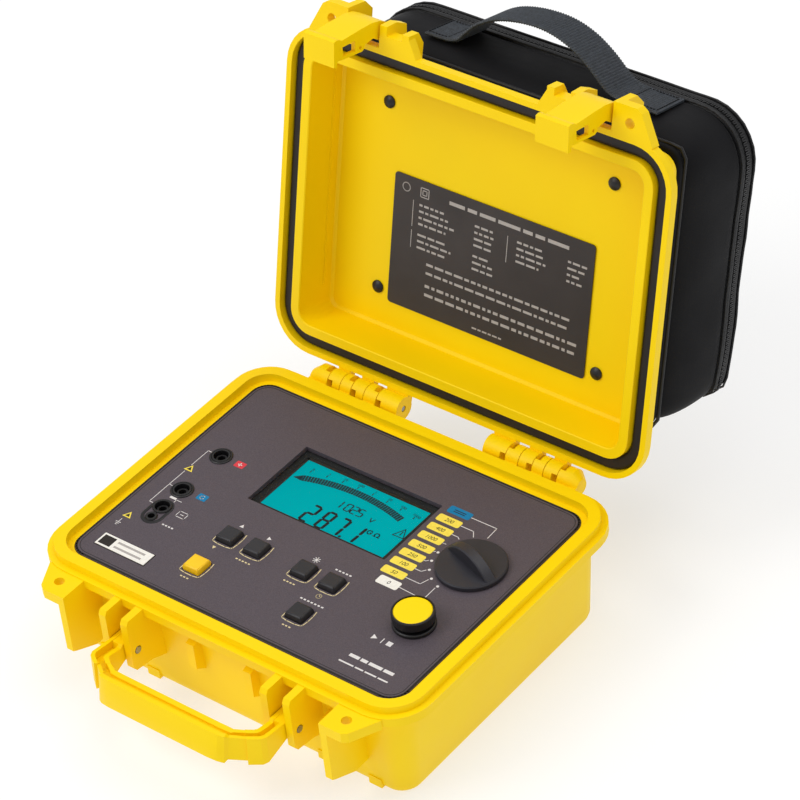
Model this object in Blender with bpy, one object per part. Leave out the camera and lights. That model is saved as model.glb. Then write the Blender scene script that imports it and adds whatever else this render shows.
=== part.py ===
"""Insulation resistance tester in a moulded carrying case, with an accessory bag riveted to its lid.

The case lies on its underside with the lid standing open. +X is the operator's right, -Y the operator's
side and +Z up. The origin is the centre of the underside. Lengths are in metres; MM turns millimetres into
metres. Everything that belongs to the lid is drawn where it lies with the lid shut, then hung on an empty
on the hinge line that turns it open.
"""

import math

import bmesh
import bpy
from mathutils import Matrix, Vector

MM = 0.001

# Driving dimensions.
CASE_HALF_X = 120.0 * MM  # rim of the case, half its width
CASE_HALF_Y = 93.0 * MM  # rim of the case, half its depth
CASE_CORNER = 24.0 * MM  # radius of the rim's corners
PANEL_Z = 62.5 * MM  # face of the instrument panel above the table
GAP = 0.3 * MM  # between solids that touch
CORNER_STEPS = 8  # straight runs in each quarter turn of the case

RIDGE_HEIGHT = 4.0 * MM  # sealing ridge above the rim's ledge
FLANGE_DROP = 5.2 * MM  # upright edge of the rim
WALL = 3.0 * MM

LIP_Z = PANEL_Z + 1.0 * MM  # mouth of the shut lid
LID_DEPTH = 25.5 * MM  # from the mouth to the lid's inner floor
LID_THICKNESS = 3.0 * MM
GASKET_RECESS = 3.3 * MM  # gasket face below the lid's lip
LID_OPEN = math.radians(104.0)

HINGE_Y = 100.3 * MM
HINGE_Z = PANEL_Z - 1.5 * MM
KNUCKLE_RADIUS = 6.7 * MM
HINGE_PIN_RADIUS = 1.5 * MM
HINGE_BORE = (26.0 * MM, 84.0 * MM)  # |X| from the open inner end to the blind outer end

PANEL_HALF_X = 106.0 * MM
PANEL_HALF_Y = 79.0 * MM
PANEL_THICKNESS = 2.6 * MM

# Brackets on the front wall, as spans of |X|.
WEB = (82.0 * MM, 86.2 * MM)  # upright under each padlock lug
LATCH = (61.9 * MM, 81.4 * MM)
OUTER_EAR = (56.9 * MM, 61.3 * MM)
ARM = (47.7 * MM, 56.3 * MM)
INNER_EAR = (42.7 * MM, 47.1 * MM)
CATCH = (66.0 * MM, 77.3 * MM)  # ledge a latch hooks under, between the latch's cheeks
EAR_TIP_Y = -105.5 * MM

HANDLE_PIVOT = (-100.5 * MM, PANEL_Z - 22.0 * MM)
HANDLE_PIN_RADIUS = 2.0 * MM
LATCH_PIVOT = (-98.0 * MM, PANEL_Z + 7.5 * MM)
LATCH_PIN_RADIUS = 1.4 * MM
LATCH_BARREL = 3.6 * MM

PADLOCK_HOLE = 2.8 * MM

KNOB_AT = (78.2 * MM, 18.3 * MM)
KNOB_RADIUS = 18.5 * MM
KNOB_SKIRT = 2.6 * MM
KNOB_CROWN = 8.4 * MM  # top of the bar above the skirt
KNOB_TURN = math.radians(-18.3)
START_AT = (79.3 * MM, -29.8 * MM)
START_RADIUS = 10.2 * MM
SOCKET_X = -84.6 * MM
SOCKETS = {"socket_plus": 18.0 * MM, "socket_guard": -13.4 * MM, "socket_minus": -29.0 * MM}
PROBE_SOCKET_Y = -36.8 * MM
KEY_HALF = 5.4 * MM
KEY_HEIGHT = 3.2 * MM
KEYS = {
    "key_shift": (-39.8 * MM, -54.3 * MM),
    "key_up": (-39.7 * MM, -28.6 * MM),
    "key_right": (-21.9 * MM, -28.6 * MM),
    "key_light": (8.7 * MM, -28.6 * MM),
    "key_time": (26.6 * MM, -28.6 * MM),
    "key_ratio": (26.6 * MM, -54.3 * MM),
}
WINDOW = (-51.5 * MM, -0.4 * MM, 37.5 * MM, 47.9 * MM)  # x0, y0, x1, y1 of the display window

RIVET_X = 70.9 * MM
RIVET_Y = 53.1 * MM
LABEL = (-63.9 * MM, -16.6 * MM, 63.9 * MM, 59.0 * MM)

BAG_PAD = (105.5 * MM, -80.2 * MM, 75.4 * MM)  # half width, top and foot of the backing pad
BAG_HALF_X = 114.0 * MM
BAG_TOP = -86.3 * MM  # widest line of the bag, towards the carry strap
BAG_FOOT = 70.5 * MM
BAG_CORNERS = (28.0 * MM, 9.0 * MM)  # radii of the bag's top and foot corners
BAG_BODY_DEPTH = 38.0 * MM
BAG_ZIP_DEPTH = 9.0 * MM

STRAP_THICKNESS = 1.8 * MM
STRAP_Z = (17.2 * MM, 42.2 * MM)  # edges of the webbing, above the pad's lower face
STRAP_FEET = (-67.0 * MM, 78.0 * MM)
STRAP_FLAT_Y = -85.5 * MM
STRAP_ARCH = (1.0 * MM, 50.0 * MM, 23.3 * MM)  # middle, half span and rise


def clear_scene():
    for obj in list(bpy.data.objects):
        bpy.data.objects.remove(obj, do_unlink=True)


def make_material(name, colour, roughness, metallic=0.0, alpha=1.0):
    material = bpy.data.materials.new(name)
    material.use_nodes = True
    shader = material.node_tree.nodes["Principled BSDF"]
    shader.inputs["Base Color"].default_value = (*colour, 1.0)
    shader.inputs["Roughness"].default_value = roughness
    shader.inputs["Metallic"].default_value = metallic
    shader.inputs["Alpha"].default_value = alpha
    return material


def make_object(name, mesh_data, material=None):
    """Links a bmesh as a new object, faces out, and shades its round stretches smooth."""
    bmesh.ops.recalc_face_normals(mesh_data, faces=mesh_data.faces)
    mesh = bpy.data.meshes.new(name)
    mesh_data.to_mesh(mesh)
    mesh_data.free()
    obj = bpy.data.objects.new(name, mesh)
    bpy.context.scene.collection.objects.link(obj)
    if material:
        mesh.materials.append(material)
    mesh.shade_smooth()
    mesh.set_sharp_from_angle(angle=math.radians(32))
    return obj


def rounded_outline(half_x, half_y, radius, centre=(0.0, 0.0), steps=CORNER_STEPS):
    """Anticlockwise outline of a rectangle with round corners, as (x, y) pairs."""
    points = []
    for corner in range(4):
        sign_x = 1 if corner in (0, 3) else -1
        sign_y = 1 if corner in (0, 1) else -1
        middle = (sign_x * (half_x - radius), sign_y * (half_y - radius))
        for step in range(steps + 1):
            angle = math.pi / 2 * (corner + step / steps)
            points.append(
                (
                    centre[0] + middle[0] + radius * math.cos(angle),
                    centre[1] + middle[1] + radius * math.sin(angle),
                )
            )
    return points


def circle_outline(radius, centre=(0.0, 0.0), steps=20):
    turns = [2 * math.pi * step / steps for step in range(steps)]
    return [(centre[0] + radius * math.cos(a), centre[1] + radius * math.sin(a)) for a in turns]


def loft(name, rings, material=None, closed=False):
    """Skins rings of equally many 3-D points, with capped ends unless the loft closes on itself."""
    build = bmesh.new()
    loops = [[build.verts.new(point) for point in ring] for ring in rings]
    pairs = list(zip(loops, loops[1:]))
    if closed:
        pairs.append((loops[-1], loops[0]))
    for low, high in pairs:
        count = len(low)
        for i in range(count):
            j = (i + 1) % count
            build.faces.new((low[i], low[j], high[j], high[i]))
    if not closed:
        build.faces.new(reversed(loops[0]))
        build.faces.new(loops[-1])
    return make_object(name, build, material)


def prism(name, outline, low, high, axis="Z", material=None):
    """Extrudes an outline from low to high. Axis Z takes (x, y) pairs, and axis X takes (y, z) pairs."""
    if axis == "Z":
        rings = [[(a, b, level) for a, b in outline] for level in (low, high)]
    elif axis == "X":
        rings = [[(level, a, b) for a, b in outline] for level in (low, high)]
    else:
        rings = [[(a, level, b) for a, b in outline] for level in (low, high)]
    return loft(name, rings, material)


def block(name, x, y, z, material=None):
    outline = [(x[0], y[0]), (x[1], y[0]), (x[1], y[1]), (x[0], y[1])]
    return prism(name, outline, z[0], z[1], material=material)


def turned(name, profile, centre=(0.0, 0.0), steps=24, material=None):
    """Turns (radius, z) pairs about an upright line; a zero radius is a single point."""
    build = bmesh.new()
    loops = []
    for radius, z in profile:
        if radius == 0:
            loops.append([build.verts.new((centre[0], centre[1], z))])
        else:
            ring = circle_outline(radius, centre, steps)
            loops.append([build.verts.new((x, y, z)) for x, y in ring])
    pairs = list(zip(loops, loops[1:]))
    if len(loops[0]) > 1:
        pairs.append((loops[-1], loops[0]))
    for low, high in pairs:
        for i in range(steps):
            j = (i + 1) % steps
            corners = (low[i % len(low)], low[j % len(low)], high[j % len(high)], high[i % len(high)])
            build.faces.new(list(dict.fromkeys(corners)))
    return make_object(name, build, material)


def combine(target, tools, operation):
    """Unites with, or cuts by, each tool in turn, and removes the tools."""
    for tool in tools:
        modifier = target.modifiers.new(operation.lower(), "BOOLEAN")
        modifier.operation = operation
        modifier.solver = "EXACT"
        modifier.object = tool
        graph = bpy.context.evaluated_depsgraph_get()
        result = bpy.data.meshes.new_from_object(target.evaluated_get(graph))
        target.modifiers.remove(modifier)
        old = target.data
        target.data = result
        bpy.data.meshes.remove(old)
        bpy.data.objects.remove(tool, do_unlink=True)
    target.data.shade_smooth()
    target.data.set_sharp_from_angle(angle=math.radians(32))
    return target


def mirrored(outline):
    return [(-x, y) for x, y in reversed(outline)]


def span(pair, side):
    """The X span of a bracket on the given side, lowest first."""
    return sorted((side * pair[0], side * pair[1]))


def case_ring(inset, z):
    """One level of the case: its rim drawn in by inset."""
    radius = max(CASE_CORNER - inset, 4 * MM)
    outline = rounded_outline(CASE_HALF_X - inset, CASE_HALF_Y - inset, radius)
    return [(x, y, z) for x, y in outline]


def new_axis(name, location, parent=None):
    axis = bpy.data.objects.new(name, None)
    bpy.context.scene.collection.objects.link(axis)
    axis.location = location
    axis.parent = parent
    return axis


def hang(obj, axis, drawn_at):
    """Parents an object to an axis that stands at drawn_at while the object is drawn."""
    obj.data.transform(Matrix.Translation(-Vector(drawn_at)))
    obj.parent = axis


# Case base


def lug_outline(side):
    """Plan of a padlock lug: square beside the latch, bevelled towards the case's corner."""
    outline = [(82.0, -90.0), (82.0, -108.6), (95.5, -108.6), (98.5, -106.6), (106.5, -91.0)]
    outline = [(x * MM, y * MM) for x, y in outline]
    return outline if side > 0 else mirrored(outline)


def hinge_spans():
    """(kind, low, high) of each knuckle as |X|, from the outer end of a hinge inwards."""
    edges = [87.5, 75.0, 66.5, 59.2, 50.7, 42.4, 28.0]
    kinds = ["base", "lid"] * 3
    clear = 0.2
    return [
        (kind, (low + clear) * MM, (high - clear) * MM)
        for kind, high, low in zip(kinds, edges, edges[1:])
    ]


def barrel_outline(radius, steps=20):
    return circle_outline(radius, (HINGE_Y, HINGE_Z), steps)


def turned_to_shut(outline):
    """Side outline drawn with the lid open, as it lies once the lid is shut."""
    turn = Matrix.Rotation(LID_OPEN, 2)
    pivot = Vector((HINGE_Y, HINGE_Z))
    return [tuple(turn @ (Vector(point) - pivot) + pivot) for point in outline]


def around_hinge(points):
    """Points given in millimetres from the hinge line, as (y, z)."""
    return [(HINGE_Y + y * MM, HINGE_Z + z * MM) for y, z in points]


def end_barrel(low, high, side):
    """Outermost barrel of a hinge, drawn in towards the rim at its outer end."""
    full = barrel_outline(KNUCKLE_RADIUS)
    small = circle_outline(4.4 * MM, (HINGE_Y - 1.6 * MM, HINGE_Z - 0.8 * MM))
    levels = ((low, full), (high - 4.4 * MM, full), (high, small))
    return loft("barrel", [[(side * x, y, z) for y, z in outline] for x, outline in levels])


def knuckles(kind, side):
    """Knuckles of one half of a hinge. Each has a small square window at its root, beside its neighbour."""
    window = 3.2 * MM
    rim = CASE_HALF_Y - 3 * MM
    if kind == "base":
        arm = [
            (rim, PANEL_Z - FLANGE_DROP),
            (rim, PANEL_Z - 0.2 * MM),
            (HINGE_Y - 3.5 * MM, PANEL_Z - 0.2 * MM),
            (HINGE_Y, HINGE_Z),
            (HINGE_Y - 2 * MM, HINGE_Z - KNUCKLE_RADIUS + 0.6 * MM),
        ]
        opening = around_hinge([(-2.0, 3.2), (8.0, 3.2), (8.0, 9.0), (-2.0, 9.0)])
    else:
        arm = [
            (rim, LIP_Z + FLANGE_DROP),
            (rim, LIP_Z + 0.3 * MM),
            (HINGE_Y - 5.5 * MM, LIP_Z + 0.3 * MM),
            (HINGE_Y, HINGE_Z),
            (HINGE_Y + 1 * MM, HINGE_Z + KNUCKLE_RADIUS - 0.6 * MM),
        ]
        opening = turned_to_shut(around_hinge([(-9.0, -6.0), (-2.4, -6.0), (-2.4, 4.2), (-9.0, 4.2)]))
    tools = []
    for found, low, high in hinge_spans():
        if found != kind:
            continue
        if high > HINGE_BORE[1]:
            barrel = end_barrel(low, high, side)
        else:
            barrel = prism("barrel", barrel_outline(KNUCKLE_RADIUS), *span((low, high), side), axis="X")
        combine(barrel, [prism("arm", arm, *span((low, high), side), axis="X")], "UNION")
        end = (low - 1 * MM, low + window) if kind == "base" else (high - window, high + 1 * MM)
        combine(barrel, [prism("window", opening, *span(end, side), axis="X")], "DIFFERENCE")
        tools.append(barrel)
    return tools


def ear_outline():
    """Side view of a handle ear, as (y, z)."""
    points = [
        (-80.0, -0.6),
        (-104.0, -0.6),
        (-105.5, -3.0),
        (-105.5, -31.0),
        (-103.5, -33.5),
        (-92.0, -35.0),
        (-80.0, -40.0),
    ]
    return [(y * MM, PANEL_Z + z * MM) for y, z in points]


def web_outline():
    """Side view of the upright under a padlock lug, as (y, z)."""
    points = [(-80.0, -2.0), (-108.6, -2.0), (-108.6, -36.5), (-106.0, -38.0), (-92.0, -44.5), (-80.0, -44.5)]
    return [(y * MM, PANEL_Z + z * MM) for y, z in points]


def make_base_shell(material):
    inner = 0.5 * MM
    rings = [
        case_ring(16.5 * MM, 0.0),
        case_ring(13.6 * MM, 1.0 * MM),
        case_ring(12.6 * MM, 3.6 * MM),
        case_ring(9.4 * MM, PANEL_Z - 12.8 * MM),
        case_ring(0.0, PANEL_Z - FLANGE_DROP),
        case_ring(0.0, PANEL_Z),
        case_ring(3.5 * MM, PANEL_Z),
        case_ring(3.8 * MM, PANEL_Z + RIDGE_HEIGHT),
        case_ring(10.1 * MM, PANEL_Z + RIDGE_HEIGHT),
        case_ring(10.5 * MM, PANEL_Z - inner),
        case_ring(13.7 * MM, PANEL_Z - inner),
        case_ring(13.7 * MM, PANEL_Z - PANEL_THICKNESS - GAP),
        case_ring(17.5 * MM, PANEL_Z - PANEL_THICKNESS - GAP),
        case_ring(17.5 * MM, PANEL_Z - 6.5 * MM),
        case_ring(12.6 * MM, PANEL_Z - 13.5 * MM),
        case_ring(15.8 * MM, 6.0 * MM),
        case_ring(18.5 * MM, WALL),
    ]
    shell = loft("base_shell", rings, material)
    wall_y = -CASE_HALF_Y + 13 * MM
    unions = []
    cuts = []
    for side in (-1, 1):
        unions.append(prism("lug", lug_outline(side), PANEL_Z - 6.5 * MM, PANEL_Z - 0.6 * MM))
        unions.append(prism("web", web_outline(), *span(WEB, side), axis="X"))
        for ear in (OUTER_EAR, INNER_EAR):
            unions.append(prism("ear", ear_outline(), *span(ear, side), axis="X"))
        unions.extend(knuckles("base", side))
        rib = [(wall_y, -13.5), (-88.5 * MM, -16.0), (-88.5 * MM, -31.5), (wall_y, -37.0)]
        rib = [(y, PANEL_Z + z * MM) for y, z in rib]
        unions.append(prism("rib", rib, *span((16.0 * MM, 21.0 * MM), side), axis="X"))
        tip = [(-89.6 * MM, -21.5), (-91.0 * MM, -23.0), (-91.0 * MM, -27.2)]
        catch = [(wall_y, -20.0), *tip, (wall_y, -27.6)]
        catch = [(y, PANEL_Z + z * MM) for y, z in catch]
        unions.append(prism("catch", catch, *span(CATCH, side), axis="X"))
        for x, y in ((88.0, -78.7), (56.0, -78.7), (88.0, 78.7), (56.0, 78.7)):
            edge = math.copysign(2.4, y)
            unions.append(
                block(
                    "foot",
                    span(((x - 4) * MM, (x + 4) * MM), side),
                    sorted(((y - 2 * edge) * MM, (y + edge) * MM)),
                    (0.0, 5.5 * MM),
                )
            )
        hole = circle_outline(PADLOCK_HOLE, (side * 92.3 * MM, -99.8 * MM), 16)
        cuts.append(prism("padlock_hole", hole, PANEL_Z - 8 * MM, PANEL_Z + 1 * MM))
        bore = circle_outline(HANDLE_PIN_RADIUS + GAP, HANDLE_PIVOT, 16)
        cuts.append(prism("handle_bore", bore, *span((40 * MM, 64 * MM), side), axis="X"))
        bore = barrel_outline(HINGE_PIN_RADIUS + GAP, 12)
        cuts.append(prism("hinge_bore", bore, *span(HINGE_BORE, side), axis="X"))
    combine(shell, unions, "UNION")
    return combine(shell, cuts, "DIFFERENCE")


def handle_station(outer, inner, top, bottom, lean=0.0, trough=4.5, drop=1.5, bulge=0.0):
    """Section of the handle, an upward channel with a tall outer wall and a lower inner rail."""
    foot = Vector((outer[0], outer[1] - lean))
    outer, inner = Vector(outer), Vector(inner)
    waist = foot.lerp(outer, 0.45) + (outer - inner).normalized() * bulge
    near = outer.lerp(inner, 0.25)
    far = outer.lerp(inner, 0.7)
    floor = top - trough
    rail = top - drop
    section = [
        (foot, bottom),
        (waist, bottom + 0.45 * (top - bottom)),
        (outer, top),
        (near, top),
        (near, floor),
        (far, floor - 0.1),
        (far, rail),
        (inner, rail),
        (inner, bottom),
    ]
    return [(plan.x * MM, plan.y * MM, PANEL_Z + z * MM) for plan, z in section]


def make_handle(material):
    """Two solid arms, full-depth corner blocks, and a grip that stands proud of the runs that join them."""
    arm_out, arm_in = ARM[1] / MM, ARM[0] / MM
    solid = {"trough": 0.3, "drop": 0.1}
    half = [
        handle_station((arm_out, -95.2), (arm_in, -95.2), -19.0, -25.0, **solid),
        handle_station((arm_out, -96.8), (arm_in, -96.8), -17.4, -26.6, **solid),
        handle_station((arm_out, -106.0), (arm_in, -106.0), -17.0, -27.6, **solid),
        handle_station((arm_out, -107.0), (arm_in, -107.0), -16.9, -28.0),
        handle_station((arm_out, -118.8), (arm_in, -115.2), -15.4, -31.4, 0.6),
        handle_station((arm_out - 1.4, -121.4), (46.8, -117.0), -15.0, -31.6, 0.8),
        handle_station((49.2, -125.3), (43.4, -119.3), -14.8, -31.0, 1.4),
        handle_station((48.3, -124.1), (43.0, -119.5), -16.0, -29.6, 1.4, 3.6, 0.6),
        handle_station((41.2, -129.3), (38.8, -121.7), -14.6, -27.4, 2.4, 3.8, 1.8),
        handle_station((40.4, -131.2), (38.4, -122.0), -13.2, -28.6, 2.6, 5.0, 3.2),
        handle_station((37.4, -132.4), (35.8, -122.4), -12.4, -27.4, 3.2, 5.0, 3.4, 0.6),
        handle_station((32.0, -133.0), (30.8, -122.8), -11.8, -26.6, 3.6, 5.0, 3.6, 1.2),
    ]
    other = [[(-x, y, z) for x, y, z in ring] for ring in reversed(half)]
    handle = loft("handle", half + other, material)
    cuts = []
    for side in (-1, 1):
        bore = circle_outline(HANDLE_PIN_RADIUS + GAP, HANDLE_PIVOT, 16)
        cuts.append(prism("bore", bore, *span((46 * MM, 58 * MM), side), axis="X"))
    return combine(handle, cuts, "DIFFERENCE")


# Lid


def make_lid_shell(material):
    lip = LIP_Z
    floor = LIP_Z + LID_DEPTH
    groove = LIP_Z + GASKET_RECESS + 2.7 * MM
    rings = [
        case_ring(19.6 * MM, floor),
        case_ring(18.1 * MM, floor - 1.5 * MM),
        case_ring(16.4 * MM, lip + 0.5 * MM),
        case_ring(15.9 * MM, lip),
        case_ring(11.1 * MM, lip),
        case_ring(10.8 * MM, lip + 0.3 * MM),
        case_ring(10.8 * MM, groove),
        case_ring(3.2 * MM, groove),
        case_ring(3.2 * MM, lip),
        case_ring(0.0, lip),
        case_ring(0.0, lip + FLANGE_DROP),
        case_ring(7.5 * MM, lip + 11.0 * MM),
        case_ring(11.5 * MM, lip + 13.5 * MM),
        case_ring(14.6 * MM, floor + LID_THICKNESS - 2.5 * MM),
        case_ring(17.2 * MM, floor + LID_THICKNESS),
    ]
    shell = loft("lid_shell", rings, material)
    root = [(-90.2, 0.0), (-90.2, 7.0), (-80.0, 8.5)]
    unions = []
    cuts = []
    for side in (-1, 1):
        unions.append(prism("lug", lug_outline(side), lip, lip + 5.9 * MM))
        web = [*root, (-80.0, 13.5), (-92.0, 20.5), (-103.0, 20.5), (-108.6, 14.0), (-108.6, 0.0)]
        web = [(y * MM, lip + z * MM) for y, z in web]
        unions.append(prism("web", web, *span(WEB, side), axis="X"))
        ear = [*root, (-80.0, 12.5), (-95.0, 17.5), (-103.0, 16.5), (-106.0, 8.0), (-105.5, 0.0)]
        ear = [(y * MM, lip + z * MM) for y, z in ear]
        unions.append(prism("ear", ear, *span((56.9 * MM, 61.3 * MM), side), axis="X"))
        low = [*root, (-80.0, 12.0), (-98.0, 12.5), (-104.5, 8.0), (-104.5, 0.0)]
        low = [(y * MM, lip + z * MM) for y, z in low]
        unions.append(prism("low_ear", low, *span((42.7 * MM, 47.1 * MM), side), axis="X"))
        bridge = [*root, (-80.0, 11.5), (-96.0, 11.5), (-100.5, 8.0), (-100.5, 0.0)]
        bridge = [(y * MM, lip + z * MM) for y, z in bridge]
        unions.append(prism("bridge", bridge, *span((46.0 * MM, 58.0 * MM), side), axis="X"))
        gusset = [(37.0 * MM, -92.0 * MM), (43.5 * MM, -92.0 * MM), (43.5 * MM, -104.0 * MM)]
        gusset = gusset if side > 0 else mirrored(gusset)
        unions.append(prism("gusset", gusset, lip, lip + 5.2 * MM))
        unions.extend(knuckles("lid", side))
        hole = circle_outline(PADLOCK_HOLE, (side * 92.3 * MM, -99.8 * MM), 16)
        cuts.append(prism("padlock_hole", hole, lip - 1 * MM, lip + 8 * MM))
        bore = circle_outline(LATCH_PIN_RADIUS + GAP, LATCH_PIVOT, 12)
        cuts.append(prism("latch_bore", bore, *span((55 * MM, 88 * MM), side), axis="X"))
        bore = barrel_outline(HINGE_PIN_RADIUS + GAP, 12)
        cuts.append(prism("hinge_bore", bore, *span(HINGE_BORE, side), axis="X"))
        for level in (-1, 1):
            hole = circle_outline(2.3 * MM, (side * RIVET_X, level * RIVET_Y), 12)
            cuts.append(prism("rivet_hole", hole, floor - 1 * MM, floor + 5 * MM))
    combine(shell, unions, "UNION")
    return combine(shell, cuts, "DIFFERENCE")


def make_gasket(material):
    face = LIP_Z + GASKET_RECESS
    back = face + 2.4 * MM
    rings = [
        case_ring(3.5 * MM, back),
        case_ring(3.5 * MM, face + 0.8 * MM),
        case_ring(4.6 * MM, face),
        case_ring(9.4 * MM, face),
        case_ring(10.5 * MM, face + 0.8 * MM),
        case_ring(10.5 * MM, back),
    ]
    return loft("lid_gasket", rings, material, closed=True)


def make_rivet(name, x, y, material):
    floor = LIP_Z + LID_DEPTH
    foot = floor - GAP
    top = floor + LID_THICKNESS + 2.4 * MM
    profile = [
        (0.0, foot - 2.0 * MM),
        (2.2 * MM, foot - 1.6 * MM),
        (3.5 * MM, foot - 0.6 * MM),
        (3.6 * MM, foot),
        (2.0 * MM, foot),
        (2.0 * MM, top),
        (0.0, top),
    ]
    return turned(name, profile, (x, y), 16, material)


LATCH_LIP = [
    (-104.6, -28.0),
    (-106.3, -31.0),
    (-106.5, -33.2),
    (-105.8, -35.2),
    (-91.8, -34.0),
    (-91.4, -31.6),
    (-101.2, -31.0),
]  # raised lip and end wall of a latch, (y, z) in millimetres from the panel's face


def latch_outline():
    """Side view of a latch as it stands: an arched plate from its barrel down to its lip."""
    barrel = []
    for degrees in (60, 20, -20, -60, -100):
        angle = math.radians(degrees)
        y, z = LATCH_PIVOT
        barrel.append((y + LATCH_BARREL * math.cos(angle), z + LATCH_BARREL * math.sin(angle)))
    outer = [
        (-98.0, 11.4),
        (-101.6, 10.9),
        (-104.8, 8.0),
        (-106.9, 2.6),
        (-107.4, -4.0),
        (-106.4, -14.0),
        *LATCH_LIP,
        (-102.0, -27.0),
        (-103.9, -14.0),
        (-105.0, -4.0),
        (-104.4, 2.0),
        (-101.6, 4.6),
    ]
    outer = [(y * MM, PANEL_Z + z * MM) for y, z in outer]
    return outer + list(reversed(barrel))


def cheek_outline():
    """Side wall of a latch, ending in a small boss that carries the link pin."""
    points = [
        (-98.5, 10.0),
        (-103.0, 8.5),
        (-105.9, 2.6),
        (-106.4, -4.0),
        (-105.4, -14.0),
        (-103.6, -28.0),
        (-103.4, -33.0),
        (-94.6, -32.6),
        (-93.9, -27.0),
        (-93.9, -10.6),
        (-95.2, -8.8),
        (-97.0, -8.6),
        (-98.6, -2.0),
        (-95.4, 4.5),
    ]
    return [(y * MM, PANEL_Z + z * MM) for y, z in points]


def make_latch(name, side, material):
    low, high = span(LATCH, side)
    waist = 0.9 * MM
    low_body, high_body = low + waist, high - waist
    latch = prism(name, latch_outline(), low_body, high_body, axis="X", material=material)
    cheek = 2.4 * MM
    lip = [(y * MM, PANEL_Z + z * MM) for y, z in LATCH_LIP]
    tools = [
        prism("cheek", cheek_outline(), low_body, low_body + cheek, axis="X"),
        prism("cheek", cheek_outline(), high_body - cheek, high_body, axis="X"),
        prism("lip", lip, low, high, axis="X"),
    ]
    combine(latch, tools, "UNION")
    bore = circle_outline(LATCH_PIN_RADIUS + GAP, LATCH_PIVOT, 12)
    window = [(-95.6, -16.4), (-101.4, -17.0), (-100.8, -27.0), (-95.6, -26.0)]
    window = [(y * MM, PANEL_Z + z * MM) for y, z in window]
    pin_hole = circle_outline(1.0 * MM, (-96.4 * MM, PANEL_Z - 12.2 * MM), 10)
    cuts = [
        prism("bore", bore, low - 1 * MM, high + 1 * MM, axis="X"),
        prism("window", window, low - 1 * MM, high + 1 * MM, axis="X"),
        prism("pin_hole", pin_hole, low - 1 * MM, high + 1 * MM, axis="X"),
    ]
    return combine(latch, cuts, "DIFFERENCE")


# Accessory bag, drawn on the shut lid


def bag_ring(half_x, top_y, foot_y, radii, z, steps=6):
    """One level of the bag. Its top and foot corners have their own radii."""
    top_radius, foot_radius = radii
    ring = []
    for corner in range(4):
        sign_x = 1 if corner in (0, 3) else -1
        radius = foot_radius if corner in (0, 1) else top_radius
        y = foot_y - radius if corner in (0, 1) else top_y + radius
        for step in range(steps + 1):
            angle = math.pi / 2 * (corner + step / steps)
            x = sign_x * (half_x - radius)
            ring.append((x + radius * math.cos(angle), y + radius * math.sin(angle), z))
    return ring


def bag_level(inset, z, radii):
    """A ring drawn in from the bag's widest line."""
    return bag_ring(BAG_HALF_X - inset, BAG_TOP + inset, BAG_FOOT - inset, radii, z)


def make_bag(materials):
    """Backing pad, stuffed body, zip and rear cover, stacked up from the lid's outer face."""
    half_x, top_y, foot_y = BAG_PAD
    pad_low = LIP_Z + LID_DEPTH + LID_THICKNESS + GAP
    pad_high = pad_low + 5.0 * MM
    soft = 1.5 * MM
    levels = ((soft, pad_low), (0.0, pad_low + soft), (0.0, pad_high - soft), (soft, pad_high))
    rings = []
    for inset, z in levels:
        rings.append(bag_ring(half_x - inset, top_y + inset, foot_y - inset, (5 * MM, 5 * MM), z))
    pad = loft("bag_pad", rings, materials["bag"])
    holes = []
    for side in (-1, 1):
        for level in (-1, 1):
            hole = circle_outline(2.3 * MM, (side * RIVET_X, level * RIVET_Y), 12)
            holes.append(prism("hole", hole, pad_low - 1 * MM, pad_low + 3 * MM))
    combine(pad, holes, "DIFFERENCE")
    base = pad_high + GAP
    body = loft(
        "bag_body",
        [
            bag_ring(104.0 * MM, -79.4 * MM, 73.6 * MM, (14 * MM, 7 * MM), base),
            bag_ring(107.5 * MM, -82.4 * MM, 74.2 * MM, (18 * MM, 8 * MM), base + 4 * MM),
            bag_ring(111.0 * MM, -84.4 * MM, 73.8 * MM, (22 * MM, 9 * MM), base + 14 * MM),
            bag_ring(113.0 * MM, -85.0 * MM, 72.4 * MM, (26 * MM, 9 * MM), base + 28 * MM),
            bag_ring(113.6 * MM, -85.1 * MM, 70.4 * MM, BAG_CORNERS, base + BAG_BODY_DEPTH),
        ],
        materials["bag"],
    )
    rear = base + BAG_BODY_DEPTH + GAP
    top = rear + BAG_ZIP_DEPTH
    zip_tape = loft(
        "bag_zip",
        [bag_level(0.8 * MM, rear, BAG_CORNERS), bag_level(0.8 * MM, top, BAG_CORNERS)],
        materials["zip"],
    )
    cover_low = top + GAP
    cover = loft(
        "bag_cover",
        [
            bag_level(0.0, cover_low, BAG_CORNERS),
            bag_level(1.2 * MM, cover_low + 3.5 * MM, BAG_CORNERS),
            bag_level(9.0 * MM, cover_low + 6.5 * MM, (22 * MM, 7 * MM)),
        ],
        materials["bag"],
    )
    pull = block(
        "zip_pull",
        (-4 * MM, 4 * MM),
        (BAG_FOOT - 0.5 * MM, BAG_FOOT + 1.7 * MM),
        (rear + 2.0 * MM, rear + 6.5 * MM),
        materials["zip"],
    )
    return [pad, body, zip_tape, cover, pull]


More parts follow.
